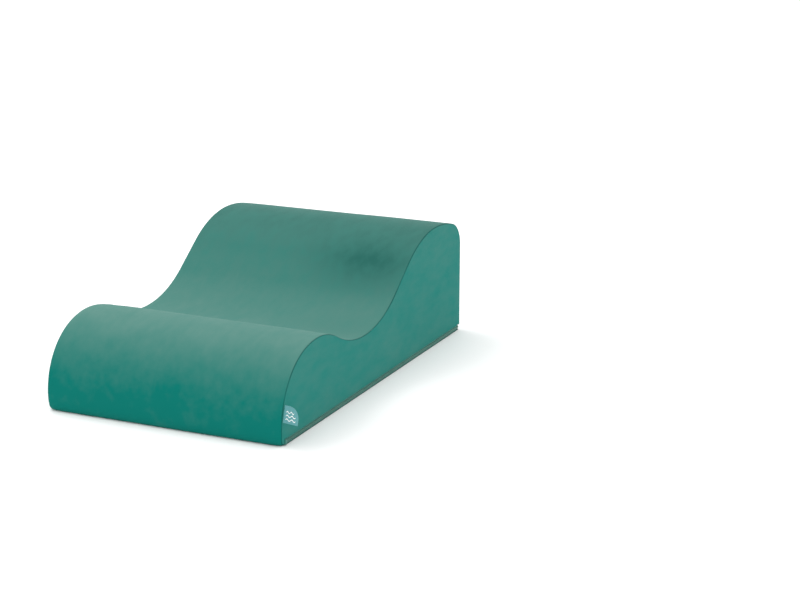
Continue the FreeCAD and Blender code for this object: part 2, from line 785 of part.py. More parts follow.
def make_label(name, side):
    """A ribbon label that sticks out of a side seam; its inner edge is round and is the hinge."""
    body = new_body(name)
    place = (
        f"create(<<vector>>; Dims.{name}_x - Dims.length / 2; "
        f"{side} * (Dims.width / 2 + Dims.label_gap); Dims.{name}_low)"
    )
    half_turn = "0" if side > 0 else "180"
    turned = f"create(<<rotation>>; {half_turn} + Dims.{name}_turn; -Dims.{name}_lean; 0)"
    body.setExpression("Placement", f"create(<<placement>>; {place}; {turned})")
    sketch = new_sketch(body, name + "_outline", "YZ_Plane")
    out = dim(name + "_out")
    tall = dim(name + "_height")
    corner = dim(name + "_corner")
    sketch.addGeometry(segment((0, 0), (out, 0)))
    sketch.addGeometry(segment((out, 0), (out, tall - corner)))
    sketch.addGeometry(arc_of((out - corner, tall - corner), corner, 0.0, math.pi / 2))
    sketch.addGeometry(segment((out - corner, tall), (0, tall)))
    sketch.addGeometry(segment((0, tall), (0, 0)))
    sketch.addConstraint(Sketcher.Constraint("Coincident", 0, 2, 1, 1))
    sketch.addConstraint(Sketcher.Constraint("Tangent", 1, 2, 2, 1))
    sketch.addConstraint(Sketcher.Constraint("Tangent", 2, 2, 3, 1))
    sketch.addConstraint(Sketcher.Constraint("Coincident", 3, 2, 4, 1))
    sketch.addConstraint(Sketcher.Constraint("Coincident", 4, 2, 0, 1))
    sketch.addConstraint(Sketcher.Constraint("Coincident", 0, 1, -1, 1))
    sketch.addConstraint(Sketcher.Constraint("Horizontal", 0))
    sketch.addConstraint(Sketcher.Constraint("Vertical", 4))
    bind(sketch, Sketcher.Constraint("DistanceX", 0, 1, 0, 2, out), f"Dims.{name}_out")
    bind(sketch, Sketcher.Constraint("DistanceY", 4, 2, 4, 1, tall), f"Dims.{name}_height")
    bind(sketch, Sketcher.Constraint("Radius", 2, corner), f"Dims.{name}_corner")
    sketch.addConstraint(Sketcher.Constraint("Vertical", 1))
    centred_pad(body, name + "_ribbon", sketch, "Dims.label_thickness")
    doc.recompute()
    root = new_sketch(body, name + "_root_circle", "XY_Plane")
    radius = dim("label_thickness") / 2
    root.addGeometry(Part.Circle(FreeCAD.Vector(0, 0, 0), FreeCAD.Vector(0, 0, 1), radius))
    root.addConstraint(Sketcher.Constraint("Coincident", 0, 3, -1, 1))
    bind(root, Sketcher.Constraint("Radius", 0, radius), "Dims.label_thickness / 2")
    pad = feature(body, "Pad", name + "_root", root)
    pad.setExpression("Length", f"Dims.{name}_height")
    return body


# ---------------------------------------------------------------------------------------------
# Build, check and write
# ---------------------------------------------------------------------------------------------

core = make_foam_core()
sub_parts = [core, make_inner_liner(core), make_top_panel()]
sub_parts.append(make_side_panel("left_side_panel", 1))
sub_parts.append(make_side_panel("right_side_panel", -1))
sub_parts.append(make_base_panel())
sub_parts += make_zip_tapes_and_coils()
sub_parts.append(make_stop("zip_top_stop", 1))
sub_parts.append(make_stop("zip_bottom_stop", -1))
sub_parts.append(make_zip_garage())
sub_parts.append(make_zip_end_tab())
sub_parts.append(make_zip_slider())
sub_parts.append(make_zip_slider_cap())
sub_parts.append(make_zip_pull_tab())
sub_parts.append(make_label("side_label", -1))
sub_parts.append(make_label("care_label", 1))
doc.recompute()

failed = [obj.Name for obj in doc.Objects if is_broken(obj)]
if failed:
    raise RuntimeError(f"these objects failed: {failed}")
for part in sub_parts:
    if part.Shape.isNull() or not part.Shape.isValid():
        raise RuntimeError(f"{part.Label} has no valid shape")
    if len(part.Shape.Solids) != 1:
        raise RuntimeError(f"{part.Label} is {len(part.Shape.Solids)} solids")

os.makedirs("parts", exist_ok=True)
for part in sub_parts:
    part.Shape.exportStep(f"parts/{part.Label}.step")
    box = part.Shape.BoundBox
    spans = ((box.XMin, box.XMax), (box.YMin, box.YMax), (box.ZMin, box.ZMax))
    size = "  ".join(f"{axis} {low:.1f}..{high:.1f}" for axis, (low, high) in zip("xyz", spans))
    print(f"{part.Label}: {size}  {part.Shape.Volume / 1000:.2f} cm3")
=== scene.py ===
# %% [markdown]
# # A wave slide in velvet
# A soft-play slide is one foam block, cut to a wave and pulled into a zipped velvet cover.
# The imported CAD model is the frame: it gives every place and size.  This file makes the cloth,
# the seams, the zip and the labels over it, and then sets the light and the camera.

# %% Load the frame
import json
import math

import bmesh
import bpy
import numpy as np
from mathutils import Matrix, Vector, noise
from mathutils.kdtree import KDTree


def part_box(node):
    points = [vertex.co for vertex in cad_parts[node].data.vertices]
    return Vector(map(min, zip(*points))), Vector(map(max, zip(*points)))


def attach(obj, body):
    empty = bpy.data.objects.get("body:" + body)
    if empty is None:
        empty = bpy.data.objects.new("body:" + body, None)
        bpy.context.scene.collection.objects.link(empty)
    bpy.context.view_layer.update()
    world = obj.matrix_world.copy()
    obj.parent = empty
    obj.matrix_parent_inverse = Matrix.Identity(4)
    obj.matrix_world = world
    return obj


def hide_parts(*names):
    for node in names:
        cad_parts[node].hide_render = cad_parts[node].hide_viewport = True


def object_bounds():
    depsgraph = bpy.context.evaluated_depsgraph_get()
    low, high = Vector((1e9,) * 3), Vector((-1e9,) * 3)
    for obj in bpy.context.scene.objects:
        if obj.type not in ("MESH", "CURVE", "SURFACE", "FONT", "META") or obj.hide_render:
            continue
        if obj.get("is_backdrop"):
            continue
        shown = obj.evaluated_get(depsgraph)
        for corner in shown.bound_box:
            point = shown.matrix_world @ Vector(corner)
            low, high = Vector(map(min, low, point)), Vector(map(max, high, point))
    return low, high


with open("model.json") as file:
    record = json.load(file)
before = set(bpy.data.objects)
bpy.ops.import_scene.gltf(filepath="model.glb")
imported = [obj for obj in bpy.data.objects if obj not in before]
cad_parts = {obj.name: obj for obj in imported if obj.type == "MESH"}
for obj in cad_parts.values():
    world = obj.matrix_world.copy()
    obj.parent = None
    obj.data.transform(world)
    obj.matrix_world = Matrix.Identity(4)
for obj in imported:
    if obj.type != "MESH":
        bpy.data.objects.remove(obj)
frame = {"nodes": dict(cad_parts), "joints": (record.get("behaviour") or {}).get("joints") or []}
cad_box = [list(corner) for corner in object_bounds()]
scene = bpy.context.scene
MM = 0.001
COVER = "cover_and_foam"
print("CAD box in metres:", cad_box)

# %% [markdown]
# ## Sizes from the frame
# The top panel and the side panels give the block's length, width and height, so the cloth is
# cut to the frame and not to typed numbers.

# %% Block size
strip_low, strip_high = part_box("top_panel")
side_low, side_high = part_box("right_side_panel")
FRONT_X = strip_low[0]
LENGTH = strip_high[0] - strip_low[0]
HALF_WIDTH = -side_low[1]
CREST_Z = strip_high[2]
CLOTH = side_high[1] - side_low[1]
print(f"block {LENGTH:.3f} x {2 * HALF_WIDTH:.3f} x {CREST_Z:.3f} m, cloth {CLOTH * 1000:.1f} mm")

# %% [markdown]
# ## Camera
# The camera stands to the front right and a little above, with a long lens, so that the side
# panel is seen foreshortened and the verticals stay nearly parallel.

# %% Camera
LENS_MM = 80.64
EYE = Vector((-3.6991, -2.007, 1.3222))
YAW, PITCH, ROLL = math.radians(24.105), math.radians(15.346), math.radians(0.15)

camera_data = bpy.data.cameras.new("camera")
camera_data.lens = LENS_MM
camera = bpy.data.objects.new("camera", camera_data)
scene.collection.objects.link(camera)
forward = Vector((math.cos(YAW) * math.cos(PITCH), math.sin(YAW) * math.cos(PITCH), -math.sin(PITCH)))
level_right = Vector((math.sin(YAW), -math.cos(YAW), 0.0))
level_up = level_right.cross(forward)
right = math.cos(ROLL) * level_right + math.sin(ROLL) * level_up
up = math.cos(ROLL) * level_up - math.sin(ROLL) * level_right
camera.matrix_world = Matrix.Translation(EYE) @ Matrix((right, up, -forward)).transposed().to_4x4()
scene.camera = camera
print(f"lens {camera_data.lens:.1f} mm")

# %% [markdown]
# ## Small helpers
# `mesh_piece` turns points and faces into an object, `soften` shades it smooth but keeps sharp
# folds, and `dress` gives a finished piece its material and its body.


# %% Helpers for pieces
def only(obj):
    """Selects one object and makes it active."""
    for other in bpy.context.selected_objects:
        other.select_set(False)
    obj.select_set(True)
    bpy.context.view_layer.objects.active = obj


def mesh_piece(name, points, faces):
    """A new object from points and faces, at the origin."""
    mesh = bpy.data.meshes.new(name)
    mesh.from_pydata([tuple(p) for p in points], [], [tuple(f) for f in faces])
    mesh.validate()
    obj = bpy.data.objects.new(name, mesh)
    scene.collection.objects.link(obj)
    return obj


def outward(obj):
    """Makes a closed mesh's faces point outwards."""
    only(obj)
    bpy.ops.object.mode_set(mode="EDIT")
    bpy.ops.mesh.select_all(action="SELECT")
    bpy.ops.mesh.normals_make_consistent(inside=False)
    bpy.ops.object.mode_set(mode="OBJECT")


def soften(obj, angle=40.0):
    """Smooth shading, with edges sharper than the angle kept crisp."""
    only(obj)
    bpy.ops.object.shade_smooth_by_angle(angle=math.radians(angle))


def thicken(obj, thickness, offset=-1.0):
    """Gives cloth its thickness: inwards from the outer face, or to both sides when offset is 0."""
    only(obj)
    wall = obj.modifiers.new("wall", "SOLIDIFY")
    wall.thickness = thickness
    wall.offset = offset
    bpy.ops.object.modifier_apply(modifier=wall.name)


def paint(obj, material):
    """Gives an object one material."""
    obj.data.materials.clear()
    obj.data.materials.append(material)


def dress(obj, material, body):
    """Material and body of a finished piece."""
    paint(obj, material)
    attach(obj, body)
    print(f"{obj.name}: {len(obj.data.vertices)} points, {len(obj.data.polygons)} faces")


# %% [markdown]
# ## Materials
# Every finish is built from the same few nodes: noise at several scales for colour, roughness
# and bump.  A small builder keeps the wiring short.


# %% Node builder
class Finish:
    """A material whose nodes read object coordinates in metres."""

    def __init__(self, name, roughness, **sockets):
        self.material = bpy.data.materials.new(name)
        self.material.use_nodes = True
        self.nodes = self.material.node_tree.nodes
        self.links = self.material.node_tree.links
        self.shader = self.nodes["Principled BSDF"]
        self.place = self.nodes.new("ShaderNodeTexCoord").outputs["Object"]
        self.shader.inputs["Roughness"].default_value = roughness
        for socket, value in sockets.items():
            self.shader.inputs[socket.replace("_", " ")].default_value = value

    def stretched(self, scale, turn=(0.0, 0.0, 0.0)):
        """Object coordinates turned and stretched by a scale on each axis."""
        mapping = self.nodes.new("ShaderNodeMapping")
        mapping.inputs["Scale"].default_value = scale
        mapping.inputs["Rotation"].default_value = turn
        self.links.new(self.place, mapping.inputs["Vector"])
        return mapping.outputs["Vector"]

    def attribute(self, name):
        """A value that the mesh carries at its points."""
        node = self.nodes.new("ShaderNodeAttribute")
        node.attribute_name = name
        return node.outputs["Fac"]

    def noise(self, scale, detail=2.0, vector=None, distortion=0.0):
        texture = self.nodes.new("ShaderNodeTexNoise")
        texture.inputs["Scale"].default_value = scale
        texture.inputs["Detail"].default_value = detail
        texture.inputs["Distortion"].default_value = distortion
        self.links.new(vector or self.place, texture.inputs["Vector"])
        return texture.outputs["Fac"]

    def wave(self, scale, direction, vector=None, distortion=0.0):
        texture = self.nodes.new("ShaderNodeTexWave")
        texture.bands_direction = direction
        texture.inputs["Scale"].default_value = scale
        texture.inputs["Distortion"].default_value = distortion
        self.links.new(vector or self.place, texture.inputs["Vector"])
        return texture.outputs["Fac"]

    def map(self, value, low, high, to_low, to_high):
        node = self.nodes.new("ShaderNodeMapRange")
        limits = {"From Min": low, "From Max": high, "To Min": to_low, "To Max": to_high}
        for socket, number in limits.items():
            node.inputs[socket].default_value = number
        self.links.new(value, node.inputs["Value"])
        return node.outputs["Result"]

    def math(self, operation, a, b):
        node = self.nodes.new("ShaderNodeMath")
        node.operation = operation
        for socket, value in zip(node.inputs, (a, b)):
            if isinstance(value, (int, float)):
                socket.default_value = value
            else:
                self.links.new(value, socket)
        return node.outputs["Value"]

    def mix(self, factor, a, b):
        node = self.nodes.new("ShaderNodeMix")
        node.data_type = "RGBA"
        self.links.new(factor, node.inputs["Factor"])
        for socket, value in ((node.inputs["A"], a), (node.inputs["B"], b)):
            if isinstance(value, tuple):
                socket.default_value = (*value, 1.0)
            else:
                self.links.new(value, socket)
        return node.outputs["Result"]

    def colour(self, value):
        self.links.new(value, self.shader.inputs["Base Color"])

    def rough(self, value):
        self.links.new(value, self.shader.inputs["Roughness"])

    def bump(self, height, depth, strength=1.0, under=None):
        node = self.nodes.new("ShaderNodeBump")
        node.inputs["Distance"].default_value = depth
        node.inputs["Strength"].default_value = strength
        self.links.new(height, node.inputs["Height"])
        if under is not None:
            self.links.new(under, node.inputs["Normal"])
        return node.outputs["Normal"]

    def normal(self, value):
        self.links.new(value, self.shader.inputs["Normal"])


# %% [markdown]
# Velvet is short pile standing on a knit.  Seen straight on, light sinks into the pile and the
# colour is deep; at a glancing angle the fibre ends catch the light and turn pale, which the
# sheen lobe does.  The paleness of faces turned up towards the light is painted light: each panel
# carries values of its own at every point, for how much painted light from above its colour
# takes, where its colour is painted darker over the crest, the rise and one hand mark, and
# for the painted shade in the groove of a seam.


# %% Velvet
TEAL_DEEP = (0.0008, 0.155, 0.128)
# Painted light: the pale colour that faces turned up take, standing in for light from above.
TEAL_PAINTED_TOP_LIGHT = (0.094, 0.222, 0.19)
# The darker colour painted over the crest, up the rise and in one hand mark.
TEAL_DARKENED = (0.014, 0.1, 0.083)
# A lit copy of the same velvet: the side panels' deep colour is painted lighter, for the light that falls on
# that side.
TEAL_SIDE_LIT = (0.0008, 0.182, 0.156)
# Painted shade: the dark colour in the groove of a seam.
TEAL_SEAM_SHADE = (0.003, 0.062, 0.052)


def make_velvet(name, deep, nap_turn, sheen):
    """Velvet with its own deep colour and streaks of uneven pile along one direction of the panel; its
    painted light from above, painted seam shade and darker patches are read from values at the points.
    """
    velvet = Finish(
        name, 0.92, Sheen_Weight=sheen, Sheen_Roughness=0.3, Sheen_Tint=(0.9, 1.0, 0.97, 1.0),
        Specular_IOR_Level=0.1,
    )
    patches = velvet.noise(9.0, 3.0, distortion=0.3)
    streaks = velvet.noise(46.0, 3.0, velvet.stretched((0.4, 1.0, 1.0), nap_turn))
    uneven = velvet.math("ADD", velvet.math("MULTIPLY", patches, 0.5), velvet.math("MULTIPLY", streaks, 0.5))
    # Painted light from above: how far the colour turns pale, broken by random unevenness.
    painted_light_share = velvet.math("ADD", velvet.attribute("painted_top_light"), velvet.map(uneven, 0.3, 0.7, -0.18, 0.12))
    base = velvet.mix(velvet.map(painted_light_share, 0.0, 1.0, 0.0, 1.0), deep, TEAL_PAINTED_TOP_LIGHT)
    # Painted shade along the seams, and the darker patches over the crest, the rise and a hand mark.
    for value, low, high, shade in (("darkened", 0.6, 1.0, TEAL_DARKENED), ("seam_shade", 0.35, 0.85, TEAL_SEAM_SHADE)):
        broken = velvet.map(uneven, 0.35, 0.6, low, high)
        base = velvet.mix(velvet.math("MULTIPLY", velvet.attribute(value), broken), base, shade)
    pile = velvet.noise(1500.0, 1.0)
    velvet.colour(velvet.mix(velvet.map(pile, 0.3, 0.75, 0.0, 0.14), base, deep))
    velvet.rough(velvet.map(uneven, 0.3, 0.7, 0.98, 0.84))
    tufts = velvet.bump(pile, 0.25 * MM, 0.5)
    velvet.normal(velvet.bump(velvet.noise(120.0, 2.0), 0.3 * MM, 0.3, tufts))
    return velvet.material


velvet_strip = make_velvet("velvet_strip", TEAL_DEEP, (0.0, 0.0, 0.0), 0.07)
# The side panels' velvet is a lit copy, painted a lighter teal and not a different cloth.
velvet_side = make_velvet("velvet_side", TEAL_SIDE_LIT, (0.0, math.radians(90.0), 0.0), 0.04)


# %% [markdown]
# The tapes, the liner, the base, the thread and the labels are all woven or twisted yarn.
# Crossed sine waves, one for each axis, make the raised yarns, so they show on every face.
# Where the yarns dip between the raised ones the colour is painted darker, as painted shade.


# %% Woven cloth, thread and ribbon
WAVE_RADIANS = 20.0  # the wave texture turns this far per metre at scale 1


def make_weave(name, colours, yarn, depth, roughness, sheen=0.2):
    """A plain weave: yarn is the distance between threads, in metres."""
    cloth = Finish(name, roughness, Sheen_Weight=sheen, Specular_IOR_Level=0.25)
    bands = 2.0 * math.pi / yarn / WAVE_RADIANS
    along_x, along_y, upright = (cloth.wave(bands, axis, distortion=0.3) for axis in "XYZ")
    crossed = cloth.math("MULTIPLY", cloth.math("ADD", along_x, along_y), upright)
    dirt = cloth.noise(30.0, 3.0)
    base = cloth.mix(cloth.map(dirt, 0.3, 0.7, 0.0, 1.0), colours[0], colours[1])
    # Painted shade: the colour darkens towards half its value where the crossed yarns dip.
    cloth.colour(cloth.mix(cloth.map(crossed, 0.2, 1.2, 0.35, 0.0), base, tuple(0.5 * c for c in colours[0])))
    cloth.rough(cloth.map(dirt, 0.3, 0.7, roughness - 0.08, min(1.0, roughness + 0.08)))
    cloth.normal(cloth.bump(crossed, depth, 0.7))
    return cloth.material


TAPE_TEAL = [(0.025, 0.18, 0.145), (0.04, 0.22, 0.18)]
tape_cloth = make_weave("zip_tape_twill", TAPE_TEAL, 0.5 * MM, 0.1 * MM, 0.75)
liner_cloth = make_weave("liner_cloth", [(0.72, 0.72, 0.69), (0.8, 0.8, 0.77)], 0.8 * MM, 0.1 * MM, 0.85)
grip_cloth = make_weave("grip_cloth", [(0.02, 0.09, 0.075), (0.03, 0.12, 0.1)], 0.9 * MM, 0.15 * MM, 0.85)
THREAD_TEAL = [(0.015, 0.17, 0.13), (0.03, 0.21, 0.17)]
thread = make_weave("sewing_thread", THREAD_TEAL, 0.35 * MM, 0.08 * MM, 0.6)
LABEL_BLUE = [(0.085, 0.3, 0.315), (0.1, 0.34, 0.355)]
label_ribbon = make_weave("label_ribbon", LABEL_BLUE, 0.45 * MM, 0.06 * MM, 0.5, 0.3)
MARK_WHITE = [(0.8, 0.86, 0.85), (0.9, 0.93, 0.92)]
label_mark = make_weave("label_mark_thread", MARK_WHITE, 0.4 * MM, 0.08 * MM, 0.6)
CARE_WHITE = [(0.78, 0.78, 0.76), (0.86, 0.86, 0.84)]
care_ribbon = make_weave("care_ribbon", CARE_WHITE, 0.4 * MM, 0.05 * MM, 0.5)


# %% [markdown]
# Plastic coil, painted metal, foam and rubber dots need no weave: a fine grain for each, with
# roughness that wanders a little so that highlights break up.


# %% Plastic, metal, foam and rubber
def make_grain(name, colours, grain, depth, rough_low, rough_high, **sockets):
    """A grained solid: grain is the size of its marks, in metres."""
    solid = Finish(name, rough_high, **sockets)
    marks = solid.noise(1.0 / grain, 2.0)
    broad = solid.noise(40.0, 2.0)
    solid.colour(solid.mix(solid.map(broad, 0.3, 0.7, 0.0, 1.0), colours[0], colours[1]))
    solid.rough(solid.map(marks, 0.3, 0.7, rough_low, rough_high))
    solid.normal(solid.bump(marks, depth, 0.6))
    return solid.material


COIL_COLOURS = [(0.045, 0.16, 0.125), (0.065, 0.2, 0.155)]
coil_plastic = make_grain("zip_coil_plastic", COIL_COLOURS, 0.4 * MM, 0.03 * MM, 0.35, 0.5)
PAINT_TEAL = [(0.02, 0.16, 0.13), (0.03, 0.2, 0.16)]
slider_paint = make_grain("slider_paint", PAINT_TEAL, 0.3 * MM, 0.01 * MM, 0.25, 0.42, Coat_Weight=0.3)
foam_cells = make_grain("foam_cells", [(0.82, 0.79, 0.68), (0.88, 0.85, 0.75)], 1.1 * MM, 0.6 * MM, 0.9, 1.0)
RUBBER_BLACK = [(0.015, 0.02, 0.02), (0.03, 0.035, 0.035)]
rubber_dots = make_grain("rubber_dots", RUBBER_BLACK, 0.3 * MM, 0.02 * MM, 0.55, 0.75)

# %% [markdown]
# ## The wave line
# Seen from the side, the block is a chain of arcs and straights, each tangent to the next:
# front edge, wall, nose, hump, valley, rise, crest, crown, back corner and rear wall.  The
# centres follow from a few radii and heights, as a pattern cutter would set them out.

# %% The wave as arcs and straights
EDGE_R = 12 * MM
NOSE_R, HUMP_R, VALLEY_R, CREST_R, CROWN_R, BACK_R = 0.160, 0.210, 0.300, 0.290, 0.400, 0.065
HUMP_X, HUMP_Z, VALLEY_Z, CREST_X = 0.175, 0.200, 0.140, 0.840
BASE_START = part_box("base_panel")[0][0] - FRONT_X
HEM_Z = side_low[2] + 15 * MM

hump = np.array((HUMP_X, HUMP_Z - HUMP_R))
nose = np.array((NOSE_R, hump[1] + math.sqrt((HUMP_R - NOSE_R) ** 2 - (HUMP_X - NOSE_R) ** 2)))
valley_rise = VALLEY_Z + VALLEY_R - hump[1]
valley = np.array((HUMP_X + math.sqrt((HUMP_R + VALLEY_R) ** 2 - valley_rise**2), VALLEY_Z + VALLEY_R))
crest = np.array((CREST_X, CREST_Z - CREST_R))
crown = np.array((CREST_X, CREST_Z - CROWN_R))
back_x = LENGTH - BACK_R
back = np.array((back_x, crown[1] + math.sqrt((CROWN_R - BACK_R) ** 2 - (back_x - CREST_X) ** 2)))
edge = np.array((EDGE_R, EDGE_R))


def heading(start, end):
    return math.atan2(end[1] - start[1], end[0] - start[0])


climb = heading(valley, crest) + math.asin((VALLEY_R + CREST_R) / np.linalg.norm(crest - valley))
rise_normal = np.array((-math.sin(climb), math.cos(climb)))
rise_start = valley - VALLEY_R * rise_normal
rise_end = crest + CREST_R * rise_normal
QUARTER = math.pi / 2


def straight(start, end):
    start, end = np.array(start, float), np.array(end, float)
    return ("straight", start, end, float(np.linalg.norm(end - start)))


def arc(centre, radius, start, end):
    """An arc from one angle to another; it is convex when the angle falls."""
    return ("arc", centre, (radius, start, end), radius * abs(end - start))


wave = [
    straight((BASE_START, 0.0), (EDGE_R, 0.0)),
    arc(edge, EDGE_R, -QUARTER, -math.pi),
    straight((0.0, EDGE_R), (0.0, nose[1])),
    arc(nose, NOSE_R, math.pi, heading(hump, nose)),
    arc(hump, HUMP_R, heading(hump, nose), heading(hump, valley)),
    arc(valley, VALLEY_R, heading(hump, valley) - math.pi, heading((0, 0), -rise_normal)),
    straight(rise_start, rise_end),
    arc(crest, CREST_R, heading((0, 0), rise_normal), QUARTER),
    arc(crown, CROWN_R, QUARTER, heading(crown, back)),
    arc(back, BACK_R, heading(crown, back), 0.0),
    straight((LENGTH, back[1]), (LENGTH, HEM_Z)),
]
WAVE_LENGTH = sum(piece[3] for piece in wave)
print(f"the wave line is {WAVE_LENGTH:.3f} m long")


def along_wave(distance):
    """Point and outward normal (x, z) at a distance along the wave line."""
    for kind, first, second, length in wave:
        share = distance / length
        if share <= 1.0:
            break
        distance -= length
    share = min(share, 1.0)
    if kind == "straight":
        direction = (second - first) / length
        return first + share * (second - first), np.array((-direction[1], direction[0]))
    radius, start, end = second
    angle = start + share * (end - start)
    spoke = np.array((math.cos(angle), math.sin(angle)))
    return first + radius * spoke, spoke if end < start else -spoke


# %% [markdown]
# ## How a seam sits on foam
# Two panels meet right side to right side and are turned, so the cloth rolls over the foam's
# edge, dives into the seam and the allowance hides inside.  In section that is a small quarter
# round, a narrow groove, and a flat that the firm foam holds.  `roll` is the height of the
# quarter round above the seam, `corner_dip` pulls the seams in at the lower front corners, where
# three of them meet, and `drift` adds the slight unevenness of cut foam and stretched cloth, with
# little puckers that die out a centimetre from the seam.

# %% Seam section
SEAM_R = 11 * MM
PLUMP = 2.2 * MM
SEAM_IN = SEAM_R * (1.0 - math.cos(math.pi / 4)) - PLUMP
SEAM_GAP = 0.16 * MM
TUCK = 2.8 * MM
CROWN = 1.1 * MM
NEAR_SEAM = [0.0, 0.3, 0.7, 1.2, 1.8, 2.5, 3.4, 4.4, 5.6, 7.2, 9.4, 12.4, 16.0]
PUCKER, PUCKER_WAVES = 0.35 * MM, 46.0
PUCKER_START, PUCKER_REACH = 6 * MM, 13 * MM
TINY = 1e-7
CORNER_DIP = 2.6 * MM
CORNER_WIDE = 15 * MM
CORNER_FADE = 9 * MM
BELLY = 2.2 * MM
BELLY_AT, BELLY_WIDE = 30 * MM, 24 * MM
PLUMP_HUMP = 3.5 * MM
HUMP_AT, HUMP_WIDE = 0.33, 0.13
# Width of the painted shade along a seam.
SEAM_SHADE_REACH = 1.0 * MM
FLATTEN = 0.4
SIDE_DIP = 0.8
VELVET_THICK = 1.4 * MM
HEM_R = 2.2 * MM
HEM_IN = HEM_R * (1.0 - math.cos(math.pi / 4))
HEM_FOLD = 1.2 * MM
WANDER, WANDER_WAVES = 0.55 * MM, 7.0


def roll(gap, radius=SEAM_R):
    """Height above the seam at a distance in from it."""
    reach = radius * math.sin(math.pi / 4)
    inside = np.clip(reach - np.asarray(gap, float), 0.0, reach)
    return np.sqrt(radius**2 - inside**2) - radius * math.cos(math.pi / 4)


def hill(distance, centre, width):
    """One at the centre, falling softly to nothing over the width."""
    return math.exp(-(((distance - centre) / width) ** 2))


def corner_dip(x, z):
    """How much further in the seam is pulled at the block's lower front corners."""
    middle = EDGE_R * (1.0 - math.cos(math.pi / 4))
    return CORNER_DIP * hill(math.hypot(x - middle, z - middle), 0.0, CORNER_WIDE)


def away(gap, reach):
    """Nothing at a seam, rising softly to one over a few times the reach."""
    return 1.0 - math.exp(-gap / reach)


def drift(point, gap, seed):
    """Unevenness of the surface at a point that lies a distance in from its seam."""
    broad = noise.noise(Vector(point) * WANDER_WAVES + Vector((seed, 0.0, 0.0)))
    small = noise.noise(Vector(point) * PUCKER_WAVES + Vector((0.0, seed, 0.0)))
    pucker = PUCKER * small * math.exp(-gap / PUCKER_REACH)
    return away(gap, PUCKER_START) * (WANDER * broad + pucker)


# %% [markdown]
# ## Swelling the panels
# The cover is cut a little small, so the foam pushes it out everywhere except at the seams.
# Blender's cloth does that to a coarse copy of each panel: the seam points are pinned, a gentle
# pressure pushes outwards, gravity is off.  Foam stops the cloth, so the push is capped softly.


# %% Cloth simulation of a pinned panel
FRAMES, STEPS_PER_FRAME = 20, 5
PRESSURE = 4.0
POINT_KG = 0.012
STRETCH_STIFF, SHEAR_STIFF, BEND_STIFF = 12.0, 5.0, 0.4


def swell(points, faces, pinned):
    """How far each point of a pinned panel moves while pressure pushes on it."""
    obj = mesh_piece("swelling", points, faces)
    group = obj.vertex_groups.new(name="seam")
    group.add([int(i) for i in pinned], 1.0, "REPLACE")
    cloth = obj.modifiers.new("cloth", "CLOTH")
    settings = cloth.settings
    settings.quality = STEPS_PER_FRAME
    settings.mass = POINT_KG
    settings.tension_stiffness = STRETCH_STIFF
    settings.compression_stiffness = STRETCH_STIFF
    settings.shear_stiffness = SHEAR_STIFF
    settings.bending_stiffness = BEND_STIFF
    settings.vertex_group_mass = group.name
    settings.use_pressure = True
    settings.uniform_pressure_force = PRESSURE
    settings.effector_weights.gravity = 0.0
    cloth.collision_settings.use_collision = False
    cloth.point_cache.frame_start = 1
    cloth.point_cache.frame_end = FRAMES
    for number in range(1, FRAMES + 1):
        scene.frame_set(number)
    swollen = obj.evaluated_get(bpy.context.evaluated_depsgraph_get())
    moved = np.zeros(len(points) * 3)
    swollen.to_mesh().vertices.foreach_get("co", moved)
    swollen.to_mesh_clear()
    bpy.data.objects.remove(obj)
    scene.frame_set(1)
    return moved.reshape(-1, 3) - np.asarray(points)


def capped(push):
    """Foam stops the cloth: a push far beyond the cap gives just the cap."""
    return CROWN * np.tanh(np.maximum(push, 0.0) / CROWN)


# %% [markdown]
# ## The long strip
# One strip runs from under the front edge, over the wave and down the back.  It is a grid: rows
# along the wave line, columns across the width, close together near the two side seams where
# the cloth rolls, wider in the middle.

# %% Rows and columns of the strip
SEAM_Y = HALF_WIDTH - SEAM_IN
ROW_STEP, COLUMN_STEP = 7 * MM, 10 * MM
near = np.array(NEAR_SEAM) * MM
end_gaps = near[1:7]
first_row = end_gaps[-1] + 3 * MM
middle_rows = np.linspace(first_row, WAVE_LENGTH - first_row, int(WAVE_LENGTH / ROW_STEP))
rows = np.concatenate([[0.0], end_gaps, middle_rows, WAVE_LENGTH - end_gaps[::-1], [WAVE_LENGTH]])
inner_y = SEAM_Y - near[-1]
middle_columns = np.linspace(-inner_y, inner_y, int(2 * inner_y / COLUMN_STEP))
columns = np.concatenate([-(SEAM_Y - near[:-1]), middle_columns, (SEAM_Y - near[:-1])[::-1]])
print(f"strip: {len(rows)} rows by {len(columns)} columns")


# %% [markdown]
# The push of the simulation is worked out on an even, coarser grid, and read back at the fine
# grid's rows and columns.


# %% Push on the strip
COARSE_ROWS, COARSE_COLUMNS = 130, 47


def grid_faces(row_total, column_total):
    """Quads of a grid whose points are listed row by row."""
    faces = []
    for i in range(row_total - 1):
        for j in range(column_total - 1):
            a = i * column_total + j
            faces.append((a, a + column_total, a + column_total + 1, a + 1))
    return faces


